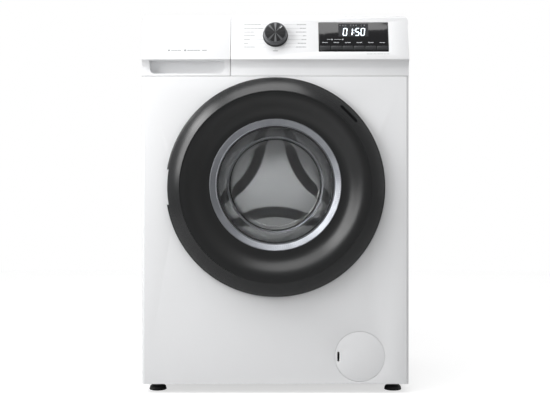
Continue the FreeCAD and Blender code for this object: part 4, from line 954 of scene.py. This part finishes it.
def light(name, place, target, size, energy, roll=0):
    data = bpy.data.lights.new(name, "AREA")
    data.shape = "RECTANGLE"
    data.size, data.size_y = size
    data.energy = energy
    lamp = bpy.data.objects.new(name, data)
    bpy.context.scene.collection.objects.link(lamp)
    lamp.location = place
    aim = (Vector(target) - Vector(place)).to_track_quat("-Z", "Y").to_matrix()
    lamp.rotation_euler = (aim @ Matrix.Rotation(math.radians(roll), 3, "Z")).to_euler()
    lamp.visible_camera = False
    return lamp


def make_studio():
    floor = new_piece("floor", [(-4, -4, 0), (4, -4, 0), (4, 3, 0), (-4, 3, 0)], [(0, 1, 2, 3)])
    material, nodes, links, shader = shader_of("floor_white")
    links.new(tint(nodes, links, noise(nodes, links, 3, 3), (0.50, 0.50, 0.50), (0.53, 0.53, 0.53)),
              shader.inputs["Base Color"])
    shader.inputs["Roughness"].default_value = 0.8
    shader.inputs["Emission Color"].default_value = (1, 1, 1, 1)
    seen = nodes.new("ShaderNodeLightPath")
    links.new(arithmetic(nodes, links, "MULTIPLY", seen.outputs["Is Camera Ray"], FLOOR_GLOW),
              shader.inputs["Emission Strength"])
    floor.data.materials.append(material)
    world = bpy.data.worlds.new("studio")
    bpy.context.scene.world = world
    world.use_nodes = True
    nodes, links = world.node_tree.nodes, world.node_tree.links
    room = nodes["Background"]
    direction = nodes.new("ShaderNodeTexCoord")
    split = nodes.new("ShaderNodeSeparateXYZ")
    strength = nodes.new("ShaderNodeMapRange")
    strength.inputs["From Min"].default_value = -1.0
    strength.inputs["From Max"].default_value = 0.7
    strength.inputs["To Min"].default_value = ROOM_FRONT
    strength.inputs["To Max"].default_value = ROOM_BACK
    links.new(direction.outputs["Generated"], split.inputs["Vector"])
    links.new(split.outputs["Y"], strength.inputs["Value"])
    links.new(strength.outputs["Result"], room.inputs["Strength"])
    room.inputs["Color"].default_value = (1, 1, 1, 1)
    backdrop = nodes.new("ShaderNodeBackground")
    backdrop.inputs["Color"].default_value = (1, 1, 1, 1)
    backdrop.inputs["Strength"].default_value = 1.0
    path = nodes.new("ShaderNodeLightPath")
    mix = nodes.new("ShaderNodeMixShader")
    links.new(path.outputs["Is Camera Ray"], mix.inputs["Fac"])
    links.new(room.outputs["Background"], mix.inputs[1])
    links.new(backdrop.outputs["Background"], mix.inputs[2])
    links.new(mix.outputs["Shader"], nodes["World Output"].inputs["Surface"])
    light("key", (-1.4, -1.1, 1.2), (0, -0.25, 0.5), (0.8, 1.2), 18)
    light("glint", (-1.2, -0.75, 1.6), (-0.15, -0.28, 0.6), (0.6, 0.6), 6)
    light("top", (-0.2, -1.0, 2.4), (0.05, -0.2, 0.7), (1.6, 1.0), 19, roll=28)
    fill = light("fill", (0, -2.2, 0.88), (0, 0.1, 0.42), (0.5, 0.4), 4.4)
    fill.visible_glossy = False


FLOOR_GLOW = 0.62
ROOM_FRONT, ROOM_BACK = 0.22, 0.85


def make_camera():
    data = bpy.data.cameras.new("camera")
    data.sensor_width = 36
    data.lens = 67.57
    data.shift_x = -0.0007
    data.shift_y = -0.0393
    camera = bpy.data.objects.new("camera", data)
    bpy.context.scene.collection.objects.link(camera)
    camera.location = (0, -2.5545, 0.466)
    camera.rotation_euler = (math.radians(90), 0, 0)
    bpy.context.scene.camera = camera


make_materials()
dress_frame()
make_ring()
make_cowl()
make_glass()
make_drum_back()
make_drum_shell()
make_lifters()
make_gasket()
make_window()
make_keys()
make_knob()
make_programme_marks()
make_panel_parts()
make_cabinet()
make_inside()
make_studio()
make_camera()
bpy.context.scene.view_settings.view_transform = "Standard"
